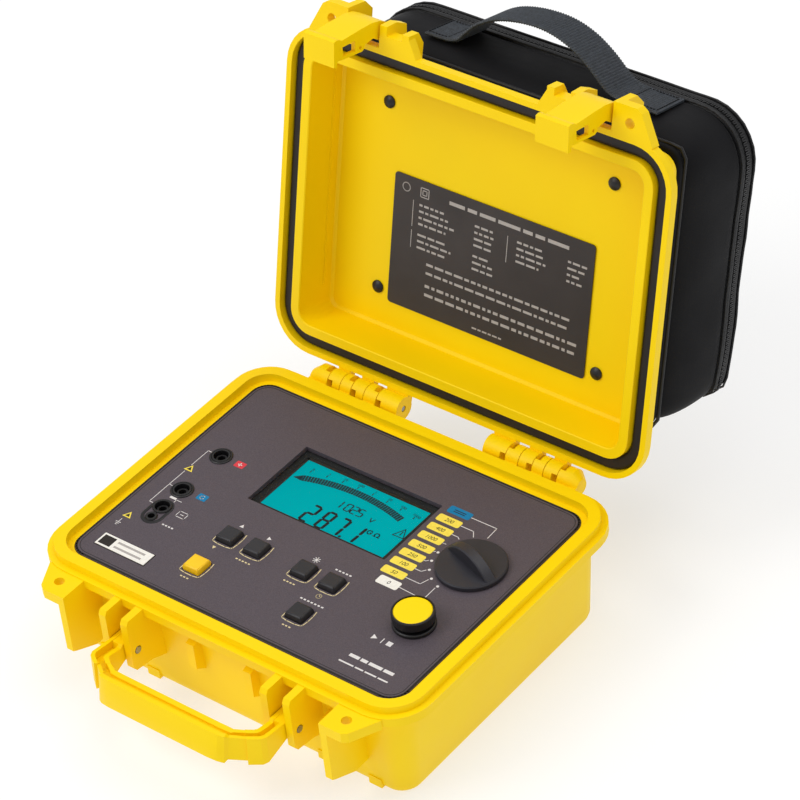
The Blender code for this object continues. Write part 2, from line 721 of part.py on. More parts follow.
def make_carry_strap(material):
    """Webbing handle: two ends sewn flat on the bag's front wall, and an arch between them."""
    low, high = (LIP_Z + LID_DEPTH + LID_THICKNESS + GAP + z for z in STRAP_Z)
    middle, half_arch, rise = STRAP_ARCH
    inner = [(STRAP_FEET[0], STRAP_FLAT_Y)]
    steps = 18
    for step in range(steps + 1):
        across = -1 + 2 * step / steps
        inner.append((middle + half_arch * across, STRAP_FLAT_Y - rise * (1 - abs(across) ** 2.4)))
    inner.append((STRAP_FEET[1], STRAP_FLAT_Y))
    outer = []
    for index, (x, y) in enumerate(inner):
        before = inner[max(index - 1, 0)]
        after = inner[min(index + 1, len(inner) - 1)]
        along = Vector((after[0] - before[0], after[1] - before[1])).normalized()
        outer.append((x + along.y * STRAP_THICKNESS, y - along.x * STRAP_THICKNESS))
    outline = inner + list(reversed(outer))
    return prism("carry_strap", outline, low, high, material=material)


# Instrument


def rounded_hole(half_x, half_y, centre, low, high, radius=1.2 * MM, steps=3):
    return prism("opening", rounded_outline(half_x, half_y, radius, centre, steps), low, high)


def window_centre():
    return ((WINDOW[0] + WINDOW[2]) / 2, (WINDOW[1] + WINDOW[3]) / 2)


def window_half():
    return ((WINDOW[2] - WINDOW[0]) / 2, (WINDOW[3] - WINDOW[1]) / 2)


def make_front_panel(material):
    bottom = PANEL_Z - PANEL_THICKNESS
    edge = 0.5 * MM
    radius = CASE_CORNER - 14 * MM
    rings = []
    for inset, z in ((0.0, bottom), (0.0, PANEL_Z - edge), (edge, PANEL_Z)):
        outline = rounded_outline(PANEL_HALF_X - inset, PANEL_HALF_Y - inset, radius - inset)
        rings.append([(x, y, z) for x, y in outline])
    panel = loft("front_panel", rings, material)
    low, high = bottom - 1 * MM, PANEL_Z + 1 * MM
    cuts = [rounded_hole(*window_half(), window_centre(), low, high, 0.6 * MM)]
    for x, y in KEYS.values():
        cuts.append(rounded_hole(KEY_HALF + GAP, KEY_HALF + GAP, (x, y), low, high))
    cuts.append(prism("shaft_hole", circle_outline(3.6 * MM, KNOB_AT), low, high))
    cuts.append(prism("start_hole", circle_outline(8.5 * MM, START_AT), low, high))
    for y in SOCKETS.values():
        cuts.append(prism("socket_hole", circle_outline(4.9 * MM, (SOCKET_X, y)), low, high))
    cuts.append(prism("probe_hole", circle_outline(3.2 * MM, (SOCKET_X, PROBE_SOCKET_Y - 1 * MM)), low, high))
    return combine(panel, cuts, "DIFFERENCE")


def make_display(materials):
    half = window_half()
    centre = window_centre()
    slack = 0.2 * MM
    window = prism(
        "display_window",
        rounded_outline(half[0] - slack, half[1] - slack, 0.5 * MM, centre, 2),
        PANEL_Z - 2.4 * MM,
        PANEL_Z - 1.2 * MM,
        material=materials["window"],
    )
    frame_z = (PANEL_Z - 6.4 * MM, PANEL_Z - PANEL_THICKNESS - GAP)
    frame = block(
        "display_frame",
        (centre[0] - half[0] - 2 * MM, centre[0] + half[0] + 2 * MM),
        (centre[1] - half[1] - 2 * MM, centre[1] + half[1] + 2 * MM),
        frame_z,
        materials["black"],
    )
    glass_half = (40.6 * MM, 20.8 * MM)
    through = (frame_z[0] - 1 * MM, frame_z[1] + 1 * MM)
    opening = rounded_hole(*glass_half, centre, *through, 0.5 * MM, 2)
    combine(frame, [opening], "DIFFERENCE")
    glass = block(
        "lcd_glass",
        (centre[0] - glass_half[0] + GAP, centre[0] + glass_half[0] - GAP),
        (centre[1] - glass_half[1] + GAP, centre[1] + glass_half[1] - GAP),
        (PANEL_Z - 5.6 * MM, PANEL_Z - 3.2 * MM),
        materials["lcd"],
    )
    light = block(
        "backlight",
        (centre[0] - glass_half[0] + GAP, centre[0] + glass_half[0] - GAP),
        (centre[1] - glass_half[1] + GAP, centre[1] + glass_half[1] - GAP),
        (PANEL_Z - 8.2 * MM, PANEL_Z - 5.9 * MM),
        materials["white"],
    )
    return [window, frame, glass, light]


def make_socket(name, y, material):
    """Shrouded 4 mm safety socket: rim, ring-shaped well and centre sleeve."""
    top = PANEL_Z + 0.9 * MM
    seat = PANEL_Z + GAP
    profile = [
        (2.0 * MM, PANEL_Z - 14 * MM),
        (2.0 * MM, PANEL_Z - 1.2 * MM),
        (3.1 * MM, PANEL_Z - 1.2 * MM),
        (3.1 * MM, PANEL_Z - 9 * MM),
        (4.0 * MM, PANEL_Z - 9 * MM),
        (4.0 * MM, top),
        (5.0 * MM, top),
        (5.3 * MM, seat),
        (4.6 * MM, seat),
        (4.6 * MM, PANEL_Z - 18 * MM),
        (0.0, PANEL_Z - 18 * MM),
    ]
    floor = [(0.0, PANEL_Z - 14 * MM)]
    return turned(name, floor + profile, (SOCKET_X, y), 20, material)


def make_probe_socket(material):
    """Small four-way connector below the minus socket, under a half-moon bezel."""
    centre = (SOCKET_X, PROBE_SOCKET_Y - 1 * MM)
    top = PANEL_Z + 0.9 * MM
    seat = PANEL_Z + GAP
    profile = [
        (0.0, PANEL_Z - 5 * MM),
        (1.9 * MM, PANEL_Z - 5 * MM),
        (1.9 * MM, top - 0.2 * MM),
        (3.0 * MM, top),
        (3.4 * MM, seat),
        (2.9 * MM, seat),
        (2.9 * MM, PANEL_Z - 12 * MM),
        (0.0, PANEL_Z - 12 * MM),
    ]
    return turned("probe_socket", profile, centre, 16, material)


def key_outline(half, bow):
    """Key cap in plan: straight back and left sides, and front and right sides that bow out."""
    x0, x1, y0, y1 = -half, half, -half, half
    front = [(x0 + (x1 - x0) * t, y0 - bow * math.sin(math.pi * t)) for t in (0.0, 0.33, 0.67)]
    right = [(x1 + bow * math.sin(math.pi * t), y0 + (y1 - y0) * t) for t in (0.0, 0.33, 0.67)]
    return [*front, *right, (x1, y1), (x0, y1)]


def make_key(name, at, material):
    """Rubber key: cap above the panel, stem through it."""
    stem_low = PANEL_Z - 5.0 * MM
    rings = [
        [(x, y, stem_low) for x, y in key_outline(KEY_HALF - 0.6 * MM, 0.0)],
        [(x, y, PANEL_Z + 1.4 * MM) for x, y in key_outline(KEY_HALF - 0.1 * MM, 0.0)],
        [(x, y, PANEL_Z + KEY_HEIGHT - 0.6 * MM) for x, y in key_outline(KEY_HALF - 0.6 * MM, 0.2 * MM)],
        [(x, y, PANEL_Z + KEY_HEIGHT) for x, y in key_outline(KEY_HALF - 1.3 * MM, 0.2 * MM)],
    ]
    key = loft(name, rings, material)
    key.location = (at[0], at[1], 0.0)
    return key


def make_knob(material):
    """Flat round skirt with an arched bar across it; the bar points at the setting."""
    seat = PANEL_Z + 0.5 * MM
    face = seat + KNOB_SKIRT
    skirt = [
        (0.0, seat),
        (KNOB_RADIUS, seat),
        (KNOB_RADIUS, face - 0.7 * MM),
        (KNOB_RADIUS - 0.6 * MM, face),
        (0.0, face),
    ]
    knob = turned("selector_knob", skirt, steps=36, material=material)
    half_length = KNOB_RADIUS - 0.8 * MM
    arc_radius = (half_length**2 + KNOB_CROWN**2) / (2 * KNOB_CROWN)
    crown = []
    for step in range(15):
        x = half_length * (1 - step / 7)
        crown.append((x, face - 0.3 * MM + KNOB_CROWN - arc_radius + math.sqrt(arc_radius**2 - x**2)))
    outline = [(half_length, seat + 1 * MM), *crown, (-half_length, seat + 1 * MM)]
    slices = []
    for y, shrink in ((-2.9, 0.7), (-2.3, 0.0), (2.3, 0.0), (2.9, 0.7)):
        narrow = 1 - 0.02 * shrink
        slices.append([(x * narrow, y * MM, max(z - shrink * MM, seat + 1 * MM)) for x, z in outline])
    bar = loft("bar", slices)
    shaft = prism("shaft", circle_outline(3.0 * MM), PANEL_Z - 10 * MM, seat + 1 * MM)
    combine(knob, [bar, shaft], "UNION")
    knob.location = (KNOB_AT[0], KNOB_AT[1], 0.0)
    knob.rotation_euler = (0.0, 0.0, KNOB_TURN)
    return knob


def make_start_button(materials):
    seat = PANEL_Z + GAP
    collar_profile = [
        (8.6 * MM, seat),
        (11.2 * MM, seat),
        (11.2 * MM, seat + 1.4 * MM),
        (10.6 * MM, seat + 2.0 * MM),
        (8.6 * MM, seat + 2.0 * MM),
    ]
    collar = turned("start_collar", collar_profile, START_AT, 28, materials["black"])
    cap_profile = [
        (0.0, PANEL_Z - 6 * MM),
        (8.1 * MM, PANEL_Z - 6 * MM),
        (8.1 * MM, seat + 4.6 * MM),
        (START_RADIUS, seat + 4.6 * MM),
        (START_RADIUS, seat + 8.4 * MM),
        (START_RADIUS - 0.7 * MM, seat + 9.2 * MM),
        (0.0, seat + 9.2 * MM),
    ]
    cap = turned("start_button", cap_profile, steps=28, material=materials["yellow"])
    cap.location = (START_AT[0], START_AT[1], 0.0)
    return [collar, cap]


def make_internals(materials):
    """Circuit board, switches, cells, transformer and fuses in the base."""
    board_z = (PANEL_Z - 15.6 * MM, PANEL_Z - 14.0 * MM)
    board = block("circuit_board", (-78 * MM, 98 * MM), (-70 * MM, 70 * MM), board_z, materials["board"])
    made = [board]
    mat = block(
        "key_mat",
        (-50 * MM, 37 * MM),
        (-64 * MM, -19 * MM),
        (PANEL_Z - 13.7 * MM, PANEL_Z - 6.6 * MM),
        materials["rubber"],
    )
    made.append(mat)
    rotary = prism(
        "rotary_switch",
        circle_outline(14 * MM, KNOB_AT, 16),
        PANEL_Z - 13.7 * MM,
        PANEL_Z - 10.3 * MM,
        material=materials["black"],
    )
    made.append(rotary)
    start_switch = block(
        "start_switch",
        (START_AT[0] - 6 * MM, START_AT[0] + 6 * MM),
        (START_AT[1] - 6 * MM, START_AT[1] + 6 * MM),
        (PANEL_Z - 13.7 * MM, PANEL_Z - 9.4 * MM),
        materials["black"],
    )
    made.append(start_switch)
    cell_radius = 13.0 * MM
    cell_length = 49.0 * MM
    tray_top = WALL + GAP + 2.0 * MM
    tray_z = (WALL + GAP, tray_top)
    tray = block("battery_tray", (-62 * MM, 46 * MM), (-52 * MM, 52 * MM), tray_z, materials["black"])
    made.append(tray)
    cell_z = tray_top + GAP + cell_radius
    cell_mesh = None
    for index in range(8):
        column, row = index % 4, index // 4
        at = ((-47.5 + 27.0 * column) * MM, (-0.5 if row == 0 else 0.5) * MM, cell_z)
        if cell_mesh is None:
            outline = circle_outline(cell_radius, steps=14)
            cell = prism("battery_cell_1", outline, 0.0, cell_length, axis="Y", material=materials["cell"])
            cell_mesh = cell.data
        else:
            cell = bpy.data.objects.new(f"battery_cell_{index + 1}", cell_mesh)
            bpy.context.scene.collection.objects.link(cell)
        if row == 0:
            cell.rotation_euler = (0.0, 0.0, math.pi)
        cell.location = at
        made.append(cell)
    transformer = block(
        "high_voltage_transformer",
        (56 * MM, 92 * MM),
        (18 * MM, 54 * MM),
        (WALL + GAP, 34 * MM),
        materials["steel"],
    )
    made.append(transformer)
    for index, y in enumerate((-40.0, -26.0)):
        fuse = prism(
            f"fuse_{index + 1}",
            circle_outline(4.0 * MM, (y * MM, WALL + GAP + 4.2 * MM), 12),
            56 * MM,
            92 * MM,
            axis="X",
            material=materials["white"],
        )
        made.append(fuse)
    return made


def make_pin(name, x, centre, radius, material, steps=14):
    return prism(name, circle_outline(radius, centre, steps), *sorted(x), axis="X", material=material)


def build():
    clear_scene()
    materials = {
        "yellow": make_material("yellow_case_plastic", (0.95, 0.55, 0.0), 0.42),
        "black": make_material("black_plastic", (0.02, 0.02, 0.022), 0.4),
        "rubber": make_material("black_rubber", (0.02, 0.018, 0.018), 0.6),
        "panel": make_material("grey_panel", (0.11, 0.085, 0.105), 0.5),
        "window": make_material("clear_window", (0.9, 0.95, 0.95), 0.05, alpha=0.3),
        "lcd": make_material("blue_green_display", (0.0, 0.42, 0.45), 0.3),
        "white": make_material("white_diffuser", (0.8, 0.8, 0.8), 0.6),
        "label": make_material("dark_label", (0.04, 0.03, 0.03), 0.45),
        "steel": make_material("pin_steel", (0.12, 0.12, 0.12), 0.3, 1.0),
        "board": make_material("board_green", (0.02, 0.16, 0.06), 0.5),
        "cell": make_material("cell_jacket", (0.05, 0.05, 0.05), 0.35, 0.5),
        "bag": make_material("black_bag_fabric", (0.03, 0.03, 0.034), 0.85),
        "zip": make_material("black_zip_tape", (0.02, 0.02, 0.02), 0.7),
    }
    make_base_shell(materials["yellow"])
    make_front_panel(materials["panel"])
    make_display(materials)
    for name, y in SOCKETS.items():
        make_socket(name, y, materials["black"])
    make_probe_socket(materials["black"])
    for name, at in KEYS.items():
        make_key(name, at, materials["yellow"] if name == "key_shift" else materials["black"])
    make_knob(materials["black"])
    make_start_button(materials)
    make_internals(materials)
    for side, word in ((-1, "left"), (1, "right")):
        x = span((28.6 * MM, 83.6 * MM), side)
        make_pin(f"hinge_pin_{word}", x, (HINGE_Y, HINGE_Z), HINGE_PIN_RADIUS, materials["steel"])
        x = span((42.4 * MM, 61.6 * MM), side)
        make_pin(f"handle_pin_{word}", x, HANDLE_PIVOT, HANDLE_PIN_RADIUS, materials["steel"])

    handle_axis = new_axis("handle_axis", (0.0, *HANDLE_PIVOT))
    hang(make_handle(materials["yellow"]), handle_axis, handle_axis.location)

    hinge_at = (0.0, HINGE_Y, HINGE_Z)
    lid_axis = new_axis("lid_axis", hinge_at)
    lid_axis.rotation_euler = (-LID_OPEN, 0.0, 0.0)
    lid_parts = [make_lid_shell(materials["yellow"]), make_gasket(materials["rubber"])]
    floor = LIP_Z + LID_DEPTH
    label_centre = ((LABEL[0] + LABEL[2]) / 2, (LABEL[1] + LABEL[3]) / 2)
    label_half = ((LABEL[2] - LABEL[0]) / 2, (LABEL[3] - LABEL[1]) / 2)
    label_shape = rounded_outline(*label_half, 2 * MM, label_centre, 3)
    lid_parts.append(
        prism("label_plate", label_shape, floor - GAP - 0.6 * MM, floor - GAP, material=materials["label"])
    )
    corners = [(side * RIVET_X, level * RIVET_Y) for level in (-1, 1) for side in (-1, 1)]
    for index, (x, y) in enumerate(corners):
        lid_parts.append(make_rivet(f"bag_rivet_{index + 1}", x, y, materials["black"]))
    lid_parts.extend(make_bag(materials))
    lid_parts.append(make_carry_strap(materials["zip"]))
    for side, word in ((-1, "left"), (1, "right")):
        x = span((57.4 * MM, 85.8 * MM), side)
        pin = make_pin(f"latch_pin_{word}", x, LATCH_PIVOT, LATCH_PIN_RADIUS, materials["steel"], 12)
        lid_parts.append(pin)
    for obj in lid_parts:
        hang(obj, lid_axis, hinge_at)
    for side, word in ((-1, "left"), (1, "right")):
        pivot = (0.0, *LATCH_PIVOT)
        latch_axis = new_axis(f"latch_axis_{word}", Vector(pivot) - Vector(hinge_at), lid_axis)
        hang(make_latch(f"latch_{word}", side, materials["yellow"]), latch_axis, pivot)


build()
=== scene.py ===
"""Looks for the insulation resistance tester: finishes, printing, display, accessory bag and stage."""

import math
import random

import bmesh
import bpy
from mathutils import Matrix, Vector, noise


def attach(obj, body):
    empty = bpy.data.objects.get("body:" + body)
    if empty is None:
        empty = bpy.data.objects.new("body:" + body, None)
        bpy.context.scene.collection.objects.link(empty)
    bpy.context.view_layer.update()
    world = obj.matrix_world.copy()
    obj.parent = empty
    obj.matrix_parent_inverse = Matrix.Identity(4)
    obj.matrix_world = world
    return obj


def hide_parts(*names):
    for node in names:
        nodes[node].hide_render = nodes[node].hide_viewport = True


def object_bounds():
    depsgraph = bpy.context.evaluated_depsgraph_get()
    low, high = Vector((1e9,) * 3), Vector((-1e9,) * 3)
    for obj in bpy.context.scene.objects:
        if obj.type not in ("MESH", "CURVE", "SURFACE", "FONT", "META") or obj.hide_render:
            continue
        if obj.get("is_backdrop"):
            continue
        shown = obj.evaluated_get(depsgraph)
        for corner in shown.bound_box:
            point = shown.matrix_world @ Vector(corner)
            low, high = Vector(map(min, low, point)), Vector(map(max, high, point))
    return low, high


MM = 0.001
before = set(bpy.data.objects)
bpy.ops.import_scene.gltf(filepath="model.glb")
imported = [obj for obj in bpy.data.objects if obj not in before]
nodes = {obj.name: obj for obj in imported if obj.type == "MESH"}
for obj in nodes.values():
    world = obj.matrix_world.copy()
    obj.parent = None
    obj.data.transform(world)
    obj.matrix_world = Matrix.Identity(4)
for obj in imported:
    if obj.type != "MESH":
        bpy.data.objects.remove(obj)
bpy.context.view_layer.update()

PANEL_Z = 62.5 * MM
HINGE = Vector((0.0, 100.3 * MM, PANEL_Z - 1.5 * MM))
OPENING = math.radians(-104.0)
LID = Matrix.Translation(HINGE) @ Matrix.Rotation(OPENING, 4, "X") @ Matrix.Translation(-HINGE)  # shut to open
LID_FLOOR = PANEL_Z + 1.0 * MM + 25.5 * MM  # inner face of the shut lid's floor
INK = 0.00006  # thickness of a print
OVER_INK = 0.00007  # level of a print that lies on another
START_X, START_Y = 79.3, -29.8
SOCKET_X = -84.6
TAG_X = -71.8
rng = random.Random(7)


# Materials


def srgb(red, green, blue):
    channels = []
    for value in (red, green, blue):
        value /= 255
        channels.append(value / 12.92 if value <= 0.04045 else ((value + 0.055) / 1.055) ** 2.4)
    return (*channels, 1.0)


class Nodes:
    """Short ways to add and join shader nodes in one material."""

    def __init__(self, name, **settings):
        self.material = bpy.data.materials.new(name)
        self.material.use_nodes = True
        self.tree = self.material.node_tree
        self.shader = self.tree.nodes["Principled BSDF"]
        for key, value in settings.items():
            self.shader.inputs[key.replace("_", " ")].default_value = value

    def add(self, kind, **values):
        node = self.tree.nodes.new(kind)
        for key, value in values.items():
            if key in node.inputs:
                node.inputs[key].default_value = value
            else:
                setattr(node, key, value)
        return node

    def join(self, source, target):
        self.tree.links.new(source, target)

    def place(self):
        return self.add("ShaderNodeTexCoord").outputs["Object"]

    def noise(self, scale, detail=3.0, roughness=0.55, stretch=None):
        node = self.add("ShaderNodeTexNoise", Scale=scale, Detail=detail, Roughness=roughness)
        place = self.place()
        if stretch:
            mapping = self.add("ShaderNodeMapping")
            mapping.inputs["Scale"].default_value = stretch
            self.join(place, mapping.inputs["Vector"])
            place = mapping.outputs["Vector"]
        self.join(place, node.inputs["Vector"])
        return node.outputs["Fac"]

    def ramp(self, value, stops):
        node = self.add("ShaderNodeValToRGB")
        elements = node.color_ramp.elements
        while len(elements) < len(stops):
            elements.new(0.5)
        for element, (position, colour) in zip(elements, stops):
            element.position = position
            element.color = colour
        self.join(value, node.inputs["Fac"])
        return node.outputs["Color"]

    def colour(self, value, stops):
        self.join(self.ramp(value, stops), self.shader.inputs["Base Color"])

    def roughness(self, value, low, high):
        node = self.add("ShaderNodeMapRange")
        node.inputs["To Min"].default_value = low
        node.inputs["To Max"].default_value = high
        self.join(value, node.inputs["Value"])
        self.join(node.outputs["Result"], self.shader.inputs["Roughness"])

    def bumps(self, *layers):
        """Each layer is (height, strength, distance in metres), coarsest first."""
        previous = None
        for height, strength, distance in layers:
            node = self.add("ShaderNodeBump", Strength=strength, Distance=distance)
            self.join(height, node.inputs["Height"])
            if previous:
                self.join(previous, node.inputs["Normal"])
            previous = node.outputs["Normal"]
        self.join(previous, self.shader.inputs["Normal"])


def yellow_plastic():
    m = Nodes("yellow case plastic", Specular_IOR_Level=0.18)
    blotch = m.noise(9.0, 3.0)
    m.colour(blotch, [(0.3, srgb(252, 211, 0)), (0.7, srgb(255, 219, 0))])
    m.roughness(m.noise(60.0, 2.0), 0.36, 0.47)
    m.bumps((m.noise(40.0, 2.0), 0.12, 0.0006), (m.noise(1500.0, 2.0), 0.16, 0.00012))
    return m.material


def button_plastic(cap_from):
    """Yellow from the given height up, in the node's own coordinates, and black below it."""
    m = Nodes("start button plastic", Specular_IOR_Level=0.25)
    split = m.add("ShaderNodeSeparateXYZ")
    m.join(m.place(), split.inputs[0])
    above = m.add("ShaderNodeMath", operation="GREATER_THAN")
    m.join(split.outputs["Z"], above.inputs[0])
    above.inputs[1].default_value = cap_from
    m.colour(above.outputs[0], [(0.4, srgb(18, 17, 18)), (0.6, srgb(255, 219, 0))])
    m.roughness(m.noise(60.0, 2.0), 0.36, 0.47)
    m.bumps((m.noise(1500.0, 2.0), 0.16, 0.00012))
    return m.material


def dark_plastic(name, colour, low, high, grain=1400.0, strength=0.2):
    m = Nodes(name, Specular_IOR_Level=0.45)
    lighter = tuple(min(1.0, c * 1.35 + 0.002) for c in colour[:3]) + (1.0,)
    m.colour(m.noise(30.0, 3.0), [(0.3, colour), (0.75, lighter)])
    m.roughness(m.noise(90.0, 2.0), low, high)
    m.bumps((m.noise(grain, 2.0), strength, 0.00015))
    return m.material


def panel_plastic():
    m = Nodes("grey panel film", Specular_IOR_Level=0.35)
    speckle = m.noise(2600.0, 1.0)
    m.colour(speckle, [(0.3, srgb(74, 66, 73)), (0.7, srgb(90, 81, 88))])
    m.roughness(m.noise(50.0, 2.0), 0.46, 0.6)
    m.bumps((m.noise(2600.0, 1.0), 0.25, 0.00008))
    return m.material


def print_ink(name, colour, roughness=0.5):
    m = Nodes(name, Specular_IOR_Level=0.3)
    darker = tuple(c * 0.93 for c in colour[:3]) + (1.0,)
    m.colour(m.noise(700.0, 1.0), [(0.35, darker), (0.65, colour)])
    m.roughness(m.noise(400.0, 1.0), roughness, roughness + 0.12)
    return m.material


def glow_display():
    m = Nodes("lit display", Roughness=0.6, Specular_IOR_Level=0.0)
    m.colour(m.noise(14.0, 1.0), [(0.2, srgb(0, 146, 154)), (0.8, srgb(2, 158, 164))])
    m.shader.inputs["Emission Color"].default_value = srgb(0, 160, 168)
    m.shader.inputs["Emission Strength"].default_value = 0.28
    return m.material


def clear_window():
    m = Nodes("clear window", Specular_IOR_Level=0.03)
    m.roughness(m.noise(20.0, 1.0), 0.03, 0.06)
    m.colour(m.noise(20.0, 1.0), [(0.3, srgb(24, 30, 30)), (0.7, srgb(30, 36, 36))])
    m.shader.inputs["Alpha"].default_value = 0.03
    return m.material


def bag_fabric(name="bag fabric", colour=srgb(17, 17, 20), raised=1.0):
    """Closely woven nylon over foam: two crossed sets of threads and a soft sheen."""
    m = Nodes(name, Specular_IOR_Level=0.14, Sheen_Weight=0.03, Sheen_Roughness=0.4)
    place = m.place()
    waves = []
    for direction in ("X", "Y", "Z"):
        wave = m.add("ShaderNodeTexWave", Scale=260.0, Distortion=0.6, bands_direction=direction)
        wave.inputs["Detail Scale"].default_value = 3.0
        m.join(place, wave.inputs["Vector"])
        waves.append(wave.outputs["Fac"])
    both = m.add("ShaderNodeMath", operation="MULTIPLY")
    m.join(waves[0], both.inputs[0])
    m.join(waves[1], both.inputs[1])
    weave = m.add("ShaderNodeMath", operation="ADD")
    m.join(both.outputs[0], weave.inputs[0])
    m.join(waves[2], weave.inputs[1])
    dark = tuple(c * 0.72 for c in colour[:3]) + (1.0,)
    m.colour(m.noise(22.0, 4.0), [(0.3, dark), (0.72, colour)])
    m.roughness(m.noise(60.0, 3.0), 0.55, 0.72)
    m.bumps((m.noise(26.0, 4.0), 0.25 * raised, 0.0015), (weave.outputs[0], 0.14, 0.00012))
    return m.material


def webbing(name, colour, ribs=650.0, direction="X"):
    m = Nodes(name, Specular_IOR_Level=0.4, Sheen_Weight=0.06, Sheen_Roughness=0.35)
    wave = m.add("ShaderNodeTexWave", Scale=ribs, Distortion=1.0, bands_direction=direction)
    m.join(m.place(), wave.inputs["Vector"])
    dark = tuple(c * 0.45 for c in colour[:3]) + (1.0,)
    m.colour(m.noise(500.0, 2.0), [(0.3, dark), (0.7, colour)])
    m.roughness(m.noise(300.0, 2.0), 0.42, 0.62)
    m.bumps((wave.outputs["Fac"], 0.3, 0.0002), (m.noise(1500.0, 2.0), 0.3, 0.0002))
    return m.material


def brushed_steel():
    m = Nodes("pin steel", Metallic=1.0)
    m.colour(m.noise(200.0, 2.0), [(0.3, (0.22, 0.22, 0.23, 1)), (0.7, (0.4, 0.4, 0.41, 1))])
    m.roughness(m.noise(900.0, 2.0, stretch=(0.05, 1, 1)), 0.28, 0.45)
    m.bumps((m.noise(900.0, 2.0, stretch=(0.05, 1, 1)), 0.1, 0.0001))
    return m.material


YELLOW = yellow_plastic()
BLACK = dark_plastic("black moulded plastic", srgb(18, 17, 19), 0.34, 0.46)
FRAME_BLACK = dark_plastic("display frame plastic", srgb(12, 14, 14), 0.6, 0.72)
KNOB = dark_plastic("selector plastic", srgb(38, 37, 44), 0.4, 0.52, 1800.0, 0.3)
KEY_RUBBER = dark_plastic("key rubber", srgb(34, 33, 37), 0.42, 0.55, 1200.0, 0.22)
KEY_YELLOW = dark_plastic("yellow key rubber", srgb(250, 186, 10), 0.4, 0.5, 900.0, 0.15)
GASKET = dark_plastic("gasket rubber", srgb(22, 17, 19), 0.45, 0.6, 700.0, 0.25)
PANEL = panel_plastic()
LABEL = dark_plastic("label film", srgb(46, 40, 39), 0.42, 0.55, 2200.0, 0.1)
WHITE_PRINT = print_ink("white print", srgb(228, 224, 222))
CREAM_PRINT = print_ink("cream print", srgb(226, 208, 160))
PALE_PRINT = print_ink("pale print", srgb(176, 170, 166))
YELLOW_PRINT = print_ink("yellow print", srgb(250, 226, 84))
BLUE_PRINT = print_ink("blue print", srgb(0, 122, 172))
RED_PRINT = print_ink("red print", srgb(218, 62, 72))
DARK_PRINT = print_ink("dark print", srgb(40, 34, 30))
OFF_WHITE = print_ink("plate white", srgb(244, 241, 234), 0.35)
DISPLAY = glow_display()
SEGMENT = print_ink("display segment", srgb(10, 28, 34), 0.6)
ARC_SEGMENT = print_ink("display bar segment", srgb(8, 48, 58), 0.6)
WINDOW = clear_window()
STEEL = brushed_steel()
BAG = bag_fabric()
BAG_DARK = bag_fabric("bag pad fabric", srgb(15, 15, 17), 0.5)
BINDING = webbing("bag binding", srgb(19, 19, 22), 420.0, "Z")
WEBBING = webbing("strap webbing", srgb(58, 64, 72), 900.0, "Y")
ZIP_COIL = dark_plastic("zip coil", srgb(16, 16, 19), 0.4, 0.55, 900.0, 0.1)
BOARD = dark_plastic("board laminate", srgb(20, 90, 45), 0.35, 0.5)
CELL = dark_plastic("cell sleeve", srgb(30, 60, 110), 0.25, 0.4)
PALE_PLASTIC = dark_plastic("pale plastic", srgb(205, 205, 200), 0.4, 0.55)


# CAD nodes that stay: a finish, merged flats and small rounded edges


def finish_node(name, material, bevel=0.0, merge=True):
    obj = nodes[name]
    obj.data.materials.clear()
    obj.data.materials.append(material)
    for layer in ("custom_normal", "sharp_face", "sharp_edge"):
        attribute = obj.data.attributes.get(layer)
        if attribute:
            obj.data.attributes.remove(attribute)
    obj.data.polygons.foreach_set("use_smooth", [True] * len(obj.data.polygons))
    weld = obj.modifiers.new("weld", "WELD")
    weld.merge_threshold = 0.00001
    if bevel and merge:
        flats = obj.modifiers.new("merge flats", "DECIMATE")
        flats.decimate_type = "DISSOLVE"
        flats.angle_limit = math.radians(0.05)
    if bevel:
        soften = obj.modifiers.new("soften edges", "BEVEL")
        soften.width = bevel
        soften.segments = 2
        soften.limit_method = "ANGLE"
        soften.angle_limit = math.radians(28.0)
        soften.harden_normals = True
        soften.use_clamp_overlap = True
        soften.miter_outer = "MITER_ARC"
    else:
        split = obj.modifiers.new("sharp edges", "EDGE_SPLIT")
        split.split_angle = math.radians(32.0)


finish_node("base_shell", YELLOW, bevel=0.0006)
finish_node("lid_shell", YELLOW, bevel=0.0006, merge=False)
finish_node("handle", YELLOW, bevel=0.0007)
finish_node("latch_left", YELLOW, bevel=0.0005)
finish_node("latch_right", YELLOW, bevel=0.0005)
finish_node("lid_gasket", GASKET, bevel=0.0008)
finish_node("front_panel", PANEL)
finish_node("display_window", WINDOW)
finish_node("display_frame", FRAME_BLACK)
finish_node("lcd_glass", DISPLAY)
finish_node("backlight", PALE_PLASTIC)
finish_node("selector_knob", KNOB, bevel=0.0005)
finish_node("start_collar", BLACK, bevel=0.0003)
button_top = max(vertex.co.z for vertex in nodes["start_button"].data.vertices)
YELLOW_CAP = 1.6 * MM
finish_node("start_button", button_plastic(button_top - YELLOW_CAP), bevel=0.0005)
finish_node("key_shift", KEY_YELLOW, bevel=0.0005)
for name in ("key_up", "key_right", "key_light", "key_time", "key_ratio"):
    finish_node(name, KEY_RUBBER, bevel=0.0005)
for name in ("socket_plus", "socket_guard", "socket_minus", "probe_socket"):
    finish_node(name, BLACK, bevel=0.0002)
for name in ("hinge_pin", "handle_pin", "latch_pin"):
    for side in ("left", "right"):
        finish_node(f"{name}_{side}", STEEL, bevel=0.0002)
for index in range(1, 5):
    finish_node(f"bag_rivet_{index}", BLACK)
finish_node("label_plate", LABEL, bevel=0.0002)
finish_node("circuit_board", BOARD)
finish_node("key_mat", GASKET)
finish_node("rotary_switch", BLACK)
finish_node("start_switch", BLACK)
finish_node("battery_tray", BLACK)
finish_node("high_voltage_transformer", STEEL)
finish_node("fuse_1", PALE_PLASTIC)
finish_node("fuse_2", PALE_PLASTIC)
for index in range(1, 9):
    finish_node(f"battery_cell_{index}", CELL)


# Helpers for new pieces


